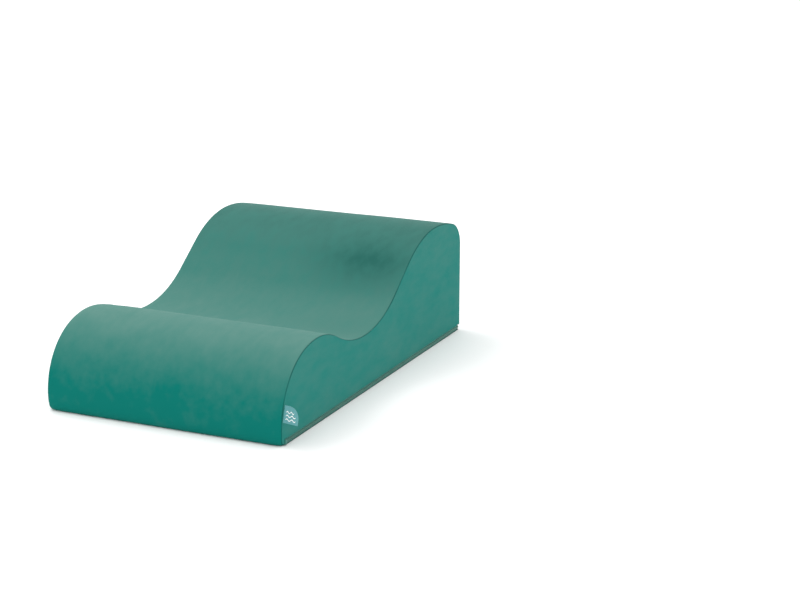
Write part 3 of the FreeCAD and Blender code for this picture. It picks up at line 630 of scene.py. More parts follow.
def strip_push():
    """Outward push at every row and column of the strip."""
    coarse_rows = np.linspace(0.0, WAVE_LENGTH, COARSE_ROWS)
    coarse_columns = np.linspace(-SEAM_Y, SEAM_Y, COARSE_COLUMNS)
    points, normals = [], []
    for distance in coarse_rows:
        (x, z), (nx, nz) = along_wave(distance)
        for y in coarse_columns:
            points.append((FRONT_X + x, y, z))
            normals.append((nx, 0.0, nz))
    points, normals = np.array(points), np.array(normals)
    fixed = np.isclose(np.abs(points[:, 1]), SEAM_Y)
    fixed[:COARSE_COLUMNS] = True
    fixed[-COARSE_COLUMNS:] = True
    moved = swell(points, grid_faces(COARSE_ROWS, COARSE_COLUMNS), np.nonzero(fixed)[0])
    push = (moved * normals).sum(axis=1).reshape(COARSE_ROWS, COARSE_COLUMNS)
    print(f"strip pushed out by up to {push.max() * 1000:.1f} mm before the cap")
    across = np.array([np.interp(columns, coarse_columns, line) for line in push])
    fine = np.array([np.interp(rows, coarse_rows, across[:, j]) for j in range(len(columns))]).T
    return capped(fine)


strip_crown = strip_push()


# %% [markdown]
# Each point of the strip is the wave line moved along its normal: down by the seam's inset, up
# by the roll and the crown.  One more column on each side, and one more row at each end, turn
# into the block: that is the allowance, and it makes the groove of the seam.


# %% Points of the strip
STRIP_SEED = 3.0


def strip_point(i, j):
    """A point of the strip's surface, and its normal."""
    distance, y = rows[i], columns[j]
    (x, z), (nx, nz) = along_wave(distance)
    side_gap = SEAM_Y - abs(y)
    end_gap = min(distance, WAVE_LENGTH - distance)
    height = min(float(roll(side_gap)) - SEAM_IN, float(roll(end_gap, HEM_R)) - HEM_IN)
    height += strip_crown[i, j] - FLATTEN * CROWN * away(side_gap, SEAM_R)
    height += drift((x, y, z), side_gap, STRIP_SEED)
    if side_gap < TINY:
        height = -SEAM_IN + SEAM_GAP / 2
    dip = corner_dip(x, z) * math.exp(-side_gap / CORNER_FADE)
    leftward = 0.5 + y / (2 * SEAM_Y)
    belly = BELLY * hill(distance, BELLY_AT, BELLY_WIDE)
    belly += PLUMP_HUMP * leftward * hill(distance, HUMP_AT, HUMP_WIDE)
    height += belly * away(side_gap, CORNER_FADE) - dip
    y -= math.copysign(SIDE_DIP * dip, y)
    return np.array((FRONT_X + x + nx * height, y, max(z + nz * height, 0.0))), np.array((nx, 0.0, nz))


surface = [[strip_point(i, j) for j in range(len(columns))] for i in range(len(rows))]
lean = TUCK / math.sqrt(2.0)
sideways = np.array((0.0, lean, 0.0))
lines = []
for line in surface:
    (first, normal), (last, _) = line[0], line[-1]
    middle = [point for point, _ in line]
    lines.append([first + sideways - normal * lean, *middle, last - sideways - normal * lean])
front_hem = [point - surface[0][0][1] * HEM_FOLD for point in lines[0]]
rear_hem = [point - surface[-1][0][1] * HEM_FOLD for point in lines[-1]]
lines = [front_hem, *lines, rear_hem]
strip_points = [point for line in lines for point in line]
strip = mesh_piece("velvet_strip", strip_points, grid_faces(len(lines), len(lines[0])))


# %% [markdown]
# The strip is painted paler the more it faces up, as painted light from above, a little less
# over the crest and in the seat.  Over the crest, up the rise and in one patch where a hand has
# flattened it the colour is painted darker, and each side seam gets a thin line of painted shade.
# These values are kept at the points of the mesh, for the velvet's colour to read.


# %% Painted light and shade of the strip
def carry(obj, name, values):
    """Stores a value at every point of a mesh."""
    layer = obj.data.attributes.new(name, "FLOAT", "POINT")
    layer.data.foreach_set("value", np.asarray(values, np.float32))


HAND_AT, HAND_Y = 0.84, -0.19
HAND_LONG, HAND_WIDE = 0.075, 0.13
CREST_AT, CREST_WIDE = 1.03, 0.18
SEAT_AT, SEAT_WIDE = 0.56, 0.13
RISE_AT, RISE_WIDE = 0.74, 0.3
EDGE_Y, EDGE_WIDE = -0.26, 0.16
LIFT_POWER, CREST_DULL, SEAT_DULL = 1.9, 0.2, 0.13
HAND_DARK, CREST_DARK, RISE_DARK = 0.6, 0.62, 0.15
strip_painted_top_light, strip_darkened, strip_seam_shade = [], [], []
for i in [0, *range(len(rows)), len(rows) - 1]:
    _, (_, lift) = along_wave(rows[i])
    for j in [0, *range(len(columns)), len(columns) - 1]:
        hand = hill(rows[i], HAND_AT, HAND_LONG) * hill(columns[j], HAND_Y, HAND_WIDE)
        over_crest = hill(rows[i], CREST_AT, CREST_WIDE)
        seat = hill(rows[i], SEAT_AT, SEAT_WIDE)
        dull = CREST_DULL * over_crest + SEAT_DULL * seat
        # Painted light from above: paler the more the strip faces up, a little less over the crest and the
        # seat.
        strip_painted_top_light.append(max(lift, 0.0) ** LIFT_POWER * (1.0 - dull))
        # Painted darker over the crest, up the rise, at the right edge of the seat and in one hand mark.
        rise = hill(rows[i], RISE_AT, RISE_WIDE) + seat * hill(columns[j], EDGE_Y, EDGE_WIDE)
        strip_darkened.append(min(1.0, HAND_DARK * hand + CREST_DARK * over_crest + RISE_DARK * rise))
        # Painted shade in the groove of each side seam.
        strip_seam_shade.append(hill(SEAM_Y - abs(columns[j]), 0.0, SEAM_SHADE_REACH))
for name, values in (("painted_top_light", strip_painted_top_light), ("darkened", strip_darkened), ("seam_shade", strip_seam_shade)):
    carry(strip, name, values)

# %% Thickness and finish of the strip
thicken(strip, VELVET_THICK)
soften(strip, 60.0)
dress(strip, velvet_strip, COVER)
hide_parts("top_panel")

# %% [markdown]
# ## The two side panels
# A side panel is cut to the wave.  Rings of points follow its outline, so the roll at the seam is
# finely divided, and the face left in the middle is cut by a grid of planes, so that it can
# swell.  In the narrow toe beside the zip's end the rings lie closer, or they would cross.


# %% Outline and mesh of a side panel
RING_COUNT = 8
OUTLINE_STEP = 7 * MM
PANEL_CELL, COARSE_CELL = 8 * MM, 14 * MM
HEM_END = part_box("zip_tape_upper")[0][0] - FRONT_X
TOE_X, TOE_Z = 8 * MM, 9 * MM
TOE_WIDE = 14 * MM
TOE_SLIM = 0.5


def side_outline():
    """The edge of a side panel as (x, z) points: the seam first, then the hem over the zip."""
    start = BASE_START - EDGE_R
    seam = []
    for distance in np.linspace(start, WAVE_LENGTH, int((WAVE_LENGTH - start) / OUTLINE_STEP)):
        (x, z), (nx, nz) = along_wave(distance)
        inset = SEAM_IN + corner_dip(x, z)
        seam.append((x - nx * inset, z - nz * inset))
    across = np.arange(LENGTH - SEAM_IN - OUTLINE_STEP, HEM_END + OUTLINE_STEP / 2, -OUTLINE_STEP)
    hem = [(float(x), HEM_Z) for x in across] + [(HEM_END, HEM_Z), (HEM_END, seam[0][1])]
    return seam[1:], hem


def line_gap(points, line):
    """Distance of each (x, z) point from a line of points."""
    starts = np.array(line[:-1])
    along = np.array(line[1:]) - starts
    squares = (along**2).sum(axis=1)
    gaps = []
    for point in points:
        share = np.clip(((point - starts) * along).sum(axis=1) / squares, 0.0, 1.0)
        gaps.append(np.linalg.norm(starts + share[:, None] * along - point, axis=1).min())
    return np.array(gaps)


def way_in(outline):
    """The way in from each outline point, so that a ring keeps an even distance from the edge."""
    edge = np.array(outline)
    along = np.roll(edge, -1, axis=0) - edge
    along /= np.linalg.norm(along, axis=1)[:, None]
    after = np.stack((along[:, 1], -along[:, 0]), axis=1)
    before = np.roll(after, 1, axis=0)
    ways = (after + before) / (1.0 + (after * before).sum(axis=1))[:, None]
    toe = [hill(math.hypot(x - TOE_X, z - TOE_Z), 0.0, TOE_WIDE) for x, z in outline]
    return edge, ways * (1.0 - TOE_SLIM * np.array(toe))[:, None]


def flat_panel(outline, gaps, cell):
    """A flat mesh in (x, z): rings that follow the outline, then a grid in the middle."""
    bm = bmesh.new()
    edge, ways = way_in(outline)
    rings = [[bm.verts.new((x, 0.0, z)) for x, z in edge + gap * ways] for gap in [0.0, *gaps]]
    for outer, inner in zip(rings, rings[1:]):
        for k in range(len(edge)):
            bm.faces.new((outer[k - 1], outer[k], inner[k], inner[k - 1]))
    inner = [bm.faces.new(rings[-1])]
    for axis, count in ((0, int(LENGTH / cell)), (2, int(CREST_Z / cell))):
        for k in range(1, count + 1):
            place = Vector((0.0, 0.0, 0.0))
            place[axis] = k * cell
            direction = Vector((0.0, 0.0, 0.0))
            direction[axis] = 1.0
            geometry = set(inner)
            for one in inner:
                geometry.update(one.edges)
                geometry.update(one.verts)
            cut = bmesh.ops.bisect_plane(bm, geom=list(geometry), plane_co=place, plane_no=direction)
            inner = [g for g in cut["geom"] if isinstance(g, bmesh.types.BMFace)]
    mesh = bpy.data.meshes.new("flat_panel")
    bm.to_mesh(mesh)
    bm.free()
    points = np.array([v.co for v in mesh.vertices])
    faces = [tuple(p.vertices) for p in mesh.polygons]
    bpy.data.meshes.remove(mesh)
    return points, faces


seam_line, hem_line = side_outline()
outline = seam_line + hem_line
panel_points, panel_faces = flat_panel(outline, near[1 : RING_COUNT + 1], PANEL_CELL)
panel_flat = panel_points[:, [0, 2]]
seam_gaps = line_gap(panel_flat, seam_line)
hem_gaps = line_gap(panel_flat, [seam_line[-1], *hem_line, seam_line[0]])
panel_gaps = np.minimum(seam_gaps, hem_gaps)
print(f"side panel: {len(panel_points)} points, deepest {panel_gaps.max() * 1000:.0f} mm from the seam")


# %% Push on a side panel
CLOSE = 1e-5


def side_push():
    """Outward push at every point of a side panel."""
    coarse, faces = flat_panel(outline, [], COARSE_CELL)
    pinned = np.nonzero(line_gap(coarse[:, [0, 2]], [*outline, outline[0]]) < CLOSE)[0]
    triangles = [(face[0], face[k], face[k + 1]) for face in faces for k in range(1, len(face) - 1)]
    push = np.abs(swell(coarse, triangles, pinned)[:, 1])
    print(f"side pushed out by up to {push.max() * 1000:.1f} mm before the cap")
    tree = KDTree(len(coarse))
    for index, point in enumerate(coarse):
        tree.insert(point, index)
    tree.balance()
    fine = []
    for point in panel_points:
        found = tree.find_n(point, 4)
        weights = np.array([1.0 / (distance + CLOSE) for _, _, distance in found])
        fine.append(float((weights * push[[index for _, index, _ in found]]).sum() / weights.sum()))
    return capped(np.array(fine))


side_crown = side_push()


# %% [markdown]
# The same flat mesh makes both sides: it is stood at the seam, rolled out by its distance from
# the seam and mirrored for the left.  Over the zip it ends in a folded hem, which has a much
# tighter roll.  A last ring turns the seam's edge into the block and the hem's edge under.

# %% Stand the side panels up
# Painted light from above: the same share over all of a side panel.
SIDE_PAINTED_TOP_LIGHT = 0.32


def make_side(name, side, seed):
    """A velvet side panel: side is 1 for the left and -1 for the right."""
    at_seam = roll(seam_gaps) - SEAM_IN
    at_hem = roll(hem_gaps, HEM_R) - HEM_IN
    points = []
    heights = np.minimum(at_seam, at_hem) + side_crown
    for (x, _, z), gap, height in zip(panel_points, panel_gaps, heights):
        height += drift((x, side, z), gap, seed) - FLATTEN * CROWN * away(gap, SEAM_R)
        height -= SIDE_DIP * corner_dip(x, z) * math.exp(-gap / CORNER_FADE)
        points.append(np.array((FRONT_X + x, side * (HALF_WIDTH + height), z)))
    first_tuck = len(points)
    count = len(outline)
    for k in range(count):
        before, after = np.array(outline[k - 1]), np.array(outline[(k + 1) % count])
        ahead = (after - before) / np.linalg.norm(after - before)
        if k < len(seam_line):
            dip = SIDE_DIP * corner_dip(*outline[k])
            points[k][1] = side * (HALF_WIDTH - SEAM_IN - dip + SEAM_GAP / 2)
            points.append(points[k] + np.array((ahead[1] * lean, -side * lean, -ahead[0] * lean)))
        else:
            points.append(points[k] + np.array((0.0, -side * HEM_FOLD, 0.0)))
    faces = list(panel_faces)
    for k in range(count):
        following = (k + 1) % count
        faces.append((k, following, first_tuck + following, first_tuck + k))
    panel = mesh_piece(name, points, faces)
    outward(panel)
    widest = max(panel.data.polygons, key=lambda p: p.area)
    if widest.normal.y * side < 0:
        panel.data.flip_normals()
    carry(panel, "painted_top_light", [SIDE_PAINTED_TOP_LIGHT] * len(points))
    # Painted shade along the seam, and all over the edge turned into the groove.
    seam_shade = [hill(gap, 0.0, SEAM_SHADE_REACH) for gap in seam_gaps]
    carry(panel, "seam_shade", seam_shade + [1.0 if k < len(seam_line) else 0.0 for k in range(count)])
    thicken(panel, VELVET_THICK)
    soften(panel, 60.0)
    return panel


for name, node, side, seed in (
    ("velvet_side_right", "right_side_panel", -1, 11.0),
    ("velvet_side_left", "left_side_panel", 1, 17.0),
):
    panel = make_side(name, side, seed)
    dress(panel, velvet_side, COVER)
    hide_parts(node)

# %% [markdown]
# ## Foam block and liner
# The foam is hidden, but it is what the cover is pulled over.  Its outline is the wave line set
# in by the cloth and the liner, and its side edges are buffed round.  It is a stack of such
# outlines across the width, each one a little smaller near the sides.  Along the zip its lower
# edge is cut back, so that the slider has room.  The liner is the same shape, a thin bag.

# %% Foam and liner
CUT_BACK_X, CUT_BACK_Y, CUT_BACK_Z = 4.5 * MM, 8 * MM, 19.5 * MM
ROUND_STEPS = 5
OUTLINE_POINTS = 240


def tube_faces(total, sections):
    """Faces of a closed tube whose points are listed section by section."""
    count = total // sections
    faces = []
    for i in range(sections - 1):
        for j in range(count):
            a, b = i * count + j, i * count + (j + 1) % count
            faces.append((a, b, b + count, a + count))
    return [*faces, tuple(range(count)), tuple(total - 1 - j for j in range(count))]


def tube(name, points, sections):
    """A closed tube, its faces pointing outwards."""
    piece = mesh_piece(name, points, tube_faces(len(points), sections))
    outward(piece)
    return piece


def block_outline(depth, low):
    """The block's side outline at a depth inside the cover, not reaching below a height."""
    outline = []
    for distance in np.linspace(0.0, WAVE_LENGTH, OUTLINE_POINTS):
        (x, z), (nx, nz) = along_wave(distance)
        inset = min(depth + 2.0 * corner_dip(x, z), EDGE_R - 1 * MM)
        back_limit = LENGTH - CUT_BACK_X if z < CUT_BACK_Z else LENGTH
        outline.append((min(x - nx * inset, back_limit), max(z - nz * inset, low)))
    outline.append((LENGTH - max(depth, CUT_BACK_X), max(depth, low)))
    return outline


def stacked_block(name, depth, radius):
    """A block made of outlines across the width, with its side edges rounded."""
    half = []
    for step in range(ROUND_STEPS + 1):
        angle = QUARTER * step / ROUND_STEPS
        from_side = depth + radius * (1.0 - math.sin(angle))
        low = CUT_BACK_Z if from_side < CUT_BACK_Y else 0.0
        section = block_outline(depth + radius * (1.0 - math.cos(angle)), low)
        half.append((HALF_WIDTH - from_side, section))
    stack = [(-y, section) for y, section in reversed(half)] + half
    points = [(FRONT_X + x, y, z) for y, section in stack for x, z in section]
    return tube(name, points, len(stack))


foam = stacked_block("foam_block", depth=3 * MM, radius=8 * MM)
soften(foam, 30.0)
dress(foam, foam_cells, COVER)
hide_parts("foam_core")

LINER_THICK = 0.9 * MM
liner = stacked_block("liner_bag", depth=2 * MM, radius=8.5 * MM)
thicken(liner, LINER_THICK)
soften(liner, 30.0)
dress(liner, liner_cloth, COVER)
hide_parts("inner_liner")

# %% [markdown]
# ## Base cloth and grip dots
# The bottom is a hard-wearing weave with rubber dots, so that the block doesn't slide.  The
# dots are what touches the floor, so the cloth lies a dot's height above it.

# %% Base cloth
DOT_HEIGHT = 0.6 * MM
BASE_PLAY = 1 * MM
BASE_CORNER_R, BASE_EDGE_R = 9 * MM, 0.4 * MM
base_low, base_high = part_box("base_panel")
base_long, base_wide = base_high[0] - base_low[0], 2 * HALF_WIDTH
bpy.ops.object.select_all(action="DESELECT")
bpy.ops.mesh.primitive_cube_add(size=1.0)
base = bpy.context.active_object
base.name = "base_cloth"
base.dimensions = (base_long - BASE_PLAY, base_wide - 2 * BASE_PLAY, base_high[2] - DOT_HEIGHT)
base.location = ((base_low[0] + base_high[0]) / 2, 0.0, (base_high[2] + DOT_HEIGHT) / 2)
bpy.ops.object.transform_apply(location=True, rotation=True, scale=True)
bpy.ops.object.mode_set(mode="EDIT")
bpy.ops.mesh.select_mode(type="EDGE")
bpy.ops.mesh.select_all(action="DESELECT")
bm = bmesh.from_edit_mesh(base.data)
for line in bm.edges:
    a, b = (v.co for v in line.verts)
    line.select_set(abs(a.z - b.z) > 0.5 * MM and a.x > 0)
bmesh.update_edit_mesh(base.data)
bpy.ops.mesh.bevel(offset=BASE_CORNER_R, segments=8)
bpy.ops.mesh.select_all(action="SELECT")
bpy.ops.mesh.bevel(offset=BASE_EDGE_R, segments=2, affect="EDGES")
bpy.ops.object.mode_set(mode="OBJECT")
soften(base, 50.0)
dress(base, grip_cloth, COVER)
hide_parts("base_panel")

# %% [markdown]
# One dot is a low eight-sided disc with a bevelled foot.  The rest are copies of its points, set
# out on a staggered grid, because hundreds of objects would be slow.


# %% Grip dots
def copies(points, faces, places):
    """Points and faces of many copies of one small shape; each place is a 4x4 matrix."""
    points = np.asarray(points, float)
    all_points, all_faces = [], []
    for number, place in enumerate(places):
        turned = points @ place[:3, :3].T + place[:3, 3]
        all_points.append(turned)
        shift = number * len(points)
        all_faces += [tuple(i + shift for i in face) for face in faces]
    return np.concatenate(all_points), all_faces


def points_and_faces(obj):
    """Takes a modelled object apart into points and faces, and removes it."""
    points = [tuple(obj.matrix_world @ v.co) for v in obj.data.vertices]
    faces = [tuple(p.vertices) for p in obj.data.polygons]
    bpy.data.objects.remove(obj)
    return points, faces


DOT_R, DOT_BEVEL, DOT_PITCH = 2.6 * MM, 0.3 * MM, 20 * MM
ROW_PITCH = 0.866 * DOT_PITCH
FIRST_ROW, FIRST_DOT, LAST_GAP = 15 * MM, 14 * MM, 12 * MM
dot_middle = (0, 0, DOT_HEIGHT / 2)
bpy.ops.object.select_all(action="DESELECT")
bpy.ops.mesh.primitive_cylinder_add(vertices=8, radius=DOT_R, depth=DOT_HEIGHT, location=dot_middle)
dot = bpy.context.active_object
bpy.ops.object.mode_set(mode="EDIT")
bpy.ops.mesh.select_all(action="DESELECT")
bpy.ops.mesh.select_mode(type="FACE")
bm = bmesh.from_edit_mesh(dot.data)
for face in bm.faces:
    face.select_set(face.normal.z < -0.9)
bmesh.update_edit_mesh(dot.data)
bpy.ops.mesh.bevel(offset=DOT_BEVEL, segments=1)
bpy.ops.object.mode_set(mode="OBJECT")
dot_points, dot_faces = points_and_faces(dot)
places = []
for row, x in enumerate(np.arange(base_low[0] + FIRST_ROW, base_high[0] - LAST_GAP, ROW_PITCH)):
    stagger = DOT_PITCH / 2 if row % 2 else 0.0
    for y in np.arange(-HALF_WIDTH + FIRST_DOT + stagger, HALF_WIDTH - LAST_GAP, DOT_PITCH):
        place = np.eye(4)
        place[:2, 3] = (x, y)
        places.append(place)
dots = mesh_piece("grip_dots", *copies(dot_points, dot_faces, places))
soften(dots, 35.0)
dress(dots, rubber_dots, COVER)
print(f"{len(places)} dots")

# %% [markdown]
# ## The zip
# A coil zip is two twill tapes, each with a coil of plastic sewn along its edge.  Closed, the
# loops of one coil sit between the loops of the other.  It runs along the right side, round the
# back and along the left side, so everything on it follows one U-shaped line.

# %% The zip's line
ZIP_CORNER = 11 * MM
zip_low, zip_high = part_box("zip_tape_upper")
lower_low, lower_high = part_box("zip_tape_lower")
ZIP_MIDDLE = (zip_low[2] + lower_high[2]) / 2
ZIP_START = zip_low[0]
COIL_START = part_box("zip_coil_upper")[0][0]
BACK_X = cad_box[1][0]


def zip_length(depth, start):
    """Length of the zip's line when it lies a depth inside the cover's outer face."""
    run = BACK_X - ZIP_CORNER - start
    across = 2 * (HALF_WIDTH - ZIP_CORNER)
    return 2 * run + across + math.pi * (ZIP_CORNER - depth)


def round_corner(angle, radius, side):
    """Point, outward and running direction on the zip's bend: side is -1 right and 1 left."""
    out = (math.cos(angle), math.sin(angle))
    x = BACK_X - ZIP_CORNER + radius * out[0]
    y = side * (HALF_WIDTH - ZIP_CORNER) + radius * out[1]
    return (x, y), out, (-out[1], out[0])


def along_zip(distance, depth, start):
    """Point (x, y), outward direction and running direction at a distance along the zip's line."""
    corner_x, corner_y = BACK_X - ZIP_CORNER, HALF_WIDTH - ZIP_CORNER
    radius = ZIP_CORNER - depth
    run, bend, across = corner_x - start, QUARTER * radius, 2 * corner_y
    if distance < run:
        return (start + distance, depth - HALF_WIDTH), (0.0, -1.0), (1.0, 0.0)
    distance -= run
    if distance < bend:
        return round_corner(distance / radius - QUARTER, radius, -1)
    distance -= bend
    if distance < across:
        return (BACK_X - depth, distance - corner_y), (1.0, 0.0), (0.0, 1.0)
    distance -= across
    if distance < bend:
        return round_corner(distance / radius, radius, 1)
    return (corner_x + bend - distance, HALF_WIDTH - depth), (0.0, 1.0), (-1.0, 0.0)


def zip_place(distance, depth, start, z):
    """A frame on the zip's line: X runs along it, Y points out of the cover, Z up."""
    (x, y), out, run = along_zip(distance, depth, start)
    place = np.eye(4)
    place[:3, 0] = (-run[0], -run[1], 0.0)
    place[:3, 1] = (out[0], out[1], 0.0)
    place[:3, 3] = (x, y, z)
    return place


def sweep_band(name, section, start, step=6 * MM):
    """Sweeps a closed section of (out, z) points, out from the cover's face, along the zip's line."""
    total = zip_length(0.0, start)
    distances = np.linspace(0.0, total, int(total / step))
    points = []
    for distance in distances:
        (x, y), out, _ = along_zip(distance, 0.0, start)
        points += [(x + out[0] * o, y + out[1] * o, z) for o, z in section]
    return tube(name, points, len(distances))


# %% [markdown]
# Each tape is a flat strip with a slightly thicker selvedge by the coil, where the coil is sewn
# on.  The upper tape goes up behind the side panel's hem, the lower one down to the base cloth.

# %% Tapes
TAPE_OUT = -CLOTH
TAPE_IN = TAPE_OUT - 1.0 * MM
SELVEDGE = 3.2 * MM
SELVEDGE_STEP = 0.25 * MM


def tape_section(edge_z, far_z):
    """Section of a tape from its edge at the coil to its far edge."""
    toward = math.copysign(1.0, far_z - edge_z)
    thin = TAPE_OUT - SELVEDGE_STEP
    return [
        (TAPE_IN, edge_z),
        (TAPE_OUT - 0.2 * MM, edge_z),
        (TAPE_OUT, edge_z + toward * SELVEDGE_STEP),
        (TAPE_OUT, edge_z + toward * SELVEDGE),
        (thin, edge_z + toward * (SELVEDGE + 0.6 * MM)),
        (thin, far_z),
        (TAPE_IN, far_z),
    ]


tape_upper = sweep_band("zip_tape_top", tape_section(zip_low[2], zip_high[2]), ZIP_START)
tape_lower = sweep_band("zip_tape_bottom", tape_section(lower_high[2], lower_low[2]), ZIP_START)
for tape, node in ((tape_upper, "zip_tape_upper"), (tape_lower, "zip_tape_lower")):
    soften(tape, 50.0)
    dress(tape, tape_cloth, COVER)
    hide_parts(node)

# %% [markdown]
# One tooth of the coil is a short bar with a fat head at the zip's middle line and a thinner
# shank on the tape.  It starts as a cube, is cut across once and tapered in edit mode.

# %% One tooth of the coil
TOOTH_PITCH = 1.5 * MM
TOOTH_WIDE, TOOTH_THICK, TOOTH_LONG = 0.62 * TOOTH_PITCH, 0.9 * CLOTH, 3.5 * MM
TOOTH_OVERLAP = 0.45 * MM
HEAD_END = 0.3 * TOOTH_LONG
bpy.ops.object.select_all(action="DESELECT")
bpy.ops.mesh.primitive_cube_add(size=1.0, location=(0.0, 0.0, TOOTH_LONG / 2))
tooth = bpy.context.active_object
tooth.scale = (TOOTH_WIDE, TOOTH_THICK, TOOTH_LONG)
bpy.ops.object.transform_apply(location=True, rotation=True, scale=True)
bpy.ops.object.mode_set(mode="EDIT")
bpy.ops.mesh.select_all(action="SELECT")
bpy.ops.mesh.bisect(plane_co=(0.0, 0.0, HEAD_END), plane_no=(0.0, 0.0, 1.0))
bm = bmesh.from_edit_mesh(tooth.data)
for vert in bm.verts:
    height = vert.co.z / TOOTH_LONG
    if height > 0.9:
        vert.co.x *= 0.75
        vert.co.y = vert.co.y * 0.55 - 0.2 * CLOTH
    elif height < 0.1:
        vert.co.x *= 0.7
        vert.co.y *= 0.75
bmesh.update_edit_mesh(tooth.data)
bpy.ops.object.mode_set(mode="OBJECT")
tooth_points, tooth_faces = points_and_faces(tooth)
print(f"a tooth has {len(tooth_faces)} faces")


# %% Both coils
def coil(name, node, flip):
    """All teeth of one tape: flip is 1 for the upper tape and -1 for the lower one."""
    depth = CLOTH / 2
    shape = np.array(tooth_points) * (1.0, 1.0, flip)
    faces = tooth_faces if flip > 0 else [tuple(reversed(face)) for face in tooth_faces]
    first = 0.25 if flip > 0 else 0.75
    z = ZIP_MIDDLE - flip * TOOTH_OVERLAP
    count = int(zip_length(depth, COIL_START) / TOOTH_PITCH)
    places = [zip_place((k + first) * TOOTH_PITCH, depth, COIL_START, z) for k in range(count)]
    teeth = mesh_piece(name, *copies(shape, faces, places))
    soften(teeth, 40.0)
    dress(teeth, coil_plastic, COVER)
    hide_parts(node)


coil("zip_teeth_top", "zip_coil_upper", 1)
coil("zip_teeth_bottom", "zip_coil_lower", -1)

# %% [markdown]
# ## Stitches
# A plain row of lockstitch holds the lower tape.  A stitch is a short rounded bar whose ends dip
# into the cloth, modelled once and copied along the zip's line.

# %% One stitch and a row of them
STITCH_LONG, STITCH_PITCH, STITCH_THICK = 2.9 * MM, 3.6 * MM, 0.5 * MM
STITCH_DEPTH = CLOTH + 0.15 * MM
STITCH_Z = lower_low[2] + 1.2 * MM
along_x = (0.0, QUARTER, 0.0)
bpy.ops.object.select_all(action="DESELECT")
bpy.ops.mesh.primitive_cylinder_add(vertices=6, radius=STITCH_THICK / 2, depth=STITCH_LONG, rotation=along_x)
stitch = bpy.context.active_object
bpy.ops.object.transform_apply(location=True, rotation=True, scale=True)
bpy.ops.object.mode_set(mode="EDIT")
for share in (0.28, -0.28):
    bpy.ops.mesh.select_all(action="SELECT")
    bpy.ops.mesh.bisect(plane_co=(share * STITCH_LONG, 0, 0), plane_no=(1, 0, 0))
bm = bmesh.from_edit_mesh(stitch.data)
for vert in bm.verts:
    if abs(vert.co.x) > 0.4 * STITCH_LONG:
        vert.co.y = vert.co.y * 0.6 - 0.45 * STITCH_THICK
        vert.co.z *= 0.6
bmesh.update_edit_mesh(stitch.data)
bpy.ops.object.mode_set(mode="OBJECT")
stitch_points, stitch_faces = points_and_faces(stitch)
stitch_count = int(zip_length(STITCH_DEPTH, ZIP_START) / STITCH_PITCH)
distances = [(k + 0.5) * STITCH_PITCH for k in range(stitch_count)]
places = [zip_place(distance, STITCH_DEPTH, ZIP_START, STITCH_Z) for distance in distances]
stitches = mesh_piece("tape_stitches_bottom", *copies(stitch_points, stitch_faces, places))
soften(stitches, 50.0)
dress(stitches, thread, COVER)

# %% [markdown]
# ## Zip ends
# Small crimped stops end the coil, a folded tab covers the raw ends at the front right, and a
# cloth pocket covers the nose of the slider, which is parked at the front left.  These pieces
# have the right shape in the CAD model, so they keep it and get their finishes.

# %% Finishes for the CAD pieces that stay
for node, finish in (
    ("zip_top_stop", coil_plastic),
    ("zip_bottom_stop", coil_plastic),
    ("zip_garage", velvet_side),
    ("zip_end_tab", tape_cloth),
    ("zip_slider", slider_paint),
    ("zip_slider_cap", slider_paint),
    ("zip_pull_tab", slider_paint),
):
    paint(frame["nodes"][node], finish)

# %% [markdown]
# ## Labels
# A flag label is a short ribbon sewn into the seam.  It is a thin curved sheet with one big
# rounded corner, a little bowed because ribbon never hangs flat, with three woven wave lines.
# The care label is the same kind of ribbon, small and blank, in the rear left seam.


# %% Ribbon shape
class Ribbon:
    """A label's ribbon: out from its seam, up along its hinge, and a bow towards the front."""

    def __init__(self, body, side, turn, out, tall, bow):
        joint = next(j for j in frame["joints"] if j["child"] == body)
        self.root = np.array(joint["pos_m"])
        self.up = np.array(joint["axis"])
        self.out_way = np.array((math.sin(turn), side * math.cos(turn), 0.0))
        self.front_way = side * np.cross(self.up, self.out_way)
        self.out, self.tall, self.bow = out, tall, bow

    def at(self, u, v, lift=0.0):
        """The point u out from the seam and v up from the lower edge, lifted to the front."""
        sway = self.bow * (u / self.out) ** 2 * (0.6 + 0.4 * v / self.tall)
        return self.root + self.out_way * u + self.up * (v - self.tall / 2) + self.front_way * (sway + lift)


RIBBON_THICK = 0.9 * MM
STEPS_UP, STEPS_OUT = 18, 14


def make_ribbon(name, node, ribbon, body, finish, corner):
    """The ribbon itself, with its outer top corner rounded."""
    points = []
    for i in range(STEPS_UP + 1):
        v = ribbon.tall * i / STEPS_UP
        over = max(0.0, v - (ribbon.tall - corner))
        reach = ribbon.out - corner + math.sqrt(max(corner**2 - over**2, 0.0))
        points += [ribbon.at(reach * k / STEPS_OUT, v) for k in range(STEPS_OUT + 1)]
    piece = mesh_piece(name, points, grid_faces(STEPS_UP + 1, STEPS_OUT + 1))
    thicken(piece, RIBBON_THICK, 0.0)
    outward(piece)
    soften(piece, 50.0)
    dress(piece, finish, body)
    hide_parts(node)


FLAG_TURN = math.radians(-10.0)
flag = Ribbon("side_flag", side=-1, turn=FLAG_TURN, out=40 * MM, tall=38 * MM, bow=1.5 * MM)
make_ribbon(
    "flag_label", "side_label", flag, "side_flag", label_ribbon,
    corner=27 * MM,
)
care = Ribbon("care_flag", side=1, turn=0.0, out=24 * MM, tall=50 * MM, bow=1.2 * MM)
make_ribbon(
    "care_tag", "care_label", care, "care_flag", care_ribbon,
    corner=2 * MM,
)

# %% Woven wave lines on the flag
LINE_START, LINE_WIDE, LINE_SWING = 6 * MM, 2.4 * MM, 2.0 * MM
LINE_LIFT, LINE_RAISE = 0.4 * MM, 0.35 * MM
LINE_STEPS = 28


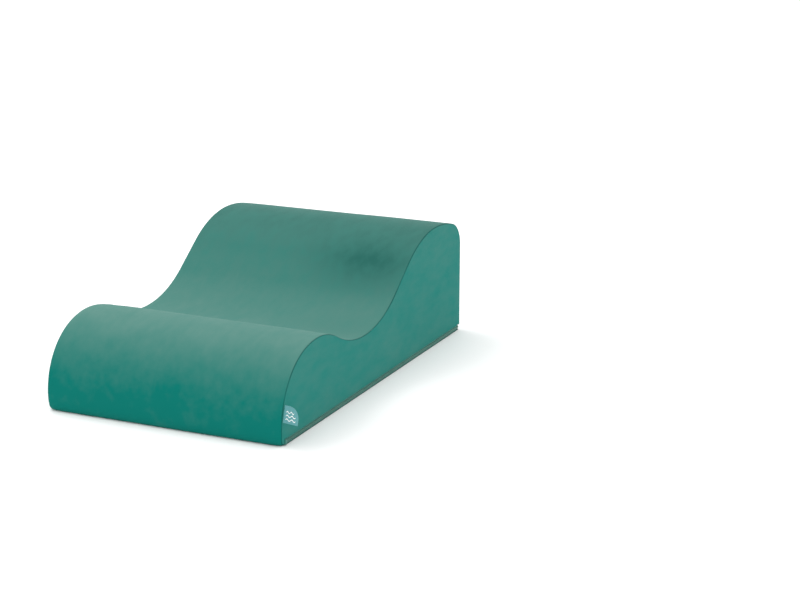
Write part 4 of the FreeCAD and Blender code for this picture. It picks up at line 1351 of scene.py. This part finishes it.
def wave_line(low, length, side):
    """A raised ribbon of thread that follows two waves across one face of the flag."""
    section = ((-0.5, 0.0), (-0.25, LINE_RAISE), (0.25, LINE_RAISE), (0.5, 0.0))
    points = []
    for share in np.arange(LINE_STEPS + 1) / LINE_STEPS:
        v = low + LINE_SWING * math.sin(share * 4 * math.pi)
        for across, rise in section:
            lift = side * (LINE_LIFT + rise)
            points.append(flag.at(LINE_START + share * length, v + across * LINE_WIDE, lift))
    return points


mark_points, mark_faces = [], []
for side in (1, -1):
    for low, length in ((8 * MM, 27 * MM), (16 * MM, 26 * MM), (24 * MM, 21 * MM)):
        points = wave_line(low, length, side)
        shift = len(mark_points)
        mark_points += points
        mark_faces += [tuple(i + shift for i in face) for face in tube_faces(len(points), LINE_STEPS + 1)]
mark = mesh_piece("flag_wave_lines", mark_points, mark_faces)
outward(mark)
soften(mark, 50.0)
dress(mark, label_mark, "side_flag")

# %% [markdown]
# ## Floor and light
# A plain white sweep and soft studio light: a bright even sky, and one wide softbox from the
# upper left rear, so that the shadow falls softly to the right of the block.

# %% Floor
FLOOR_SIZE = 60.0
bpy.ops.object.select_all(action="DESELECT")
bpy.ops.mesh.primitive_plane_add(size=FLOOR_SIZE)
floor = bpy.context.active_object
floor.name = "floor"
paper = Finish("white_paper", 0.9, Specular_IOR_Level=0.0)
paper.colour(paper.mix(paper.noise(3.0), (0.93, 0.93, 0.93), (0.95, 0.95, 0.95)))
paint(floor, paper.material)
floor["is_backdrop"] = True

# %% Lights
SOFTBOX_AT, SOFTBOX_AIM = Vector((0.5, 2.2, 3.4)), Vector((0.0, 0.0, 0.1))
SOFTBOX_SIZE, SOFTBOX_WATTS = 2.6, 45.0
SKY = 1.25
softbox = bpy.data.lights.new("key", "AREA")
softbox.shape = "DISK"
softbox.size = SOFTBOX_SIZE
softbox.energy = SOFTBOX_WATTS
lamp = bpy.data.objects.new("key", softbox)
scene.collection.objects.link(lamp)
lamp.location = SOFTBOX_AT
lamp.rotation_mode = "QUATERNION"
lamp.rotation_quaternion = (SOFTBOX_AIM - SOFTBOX_AT).to_track_quat("-Z", "Y")
world = bpy.data.worlds.new("studio")
scene.world = world
world.use_nodes = True
sky = world.node_tree.nodes["Background"].inputs
sky["Color"].default_value = (1.0, 1.0, 1.0, 1.0)
sky["Strength"].default_value = SKY
scene.view_settings.view_transform = "Standard"
scene.view_settings.look = "None"

# %% [markdown]
# ## Sizes
# The cloth stands a few millimetres proud of the CAD, and both boxes are printed.

# %% Write the sizes and finish
visual_box = [list(corner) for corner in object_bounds()]
for label, corners in (("CAD", cad_box), ("visual", visual_box)):
    print(label, [[round(c, 4) for c in corner] for corner in corners])
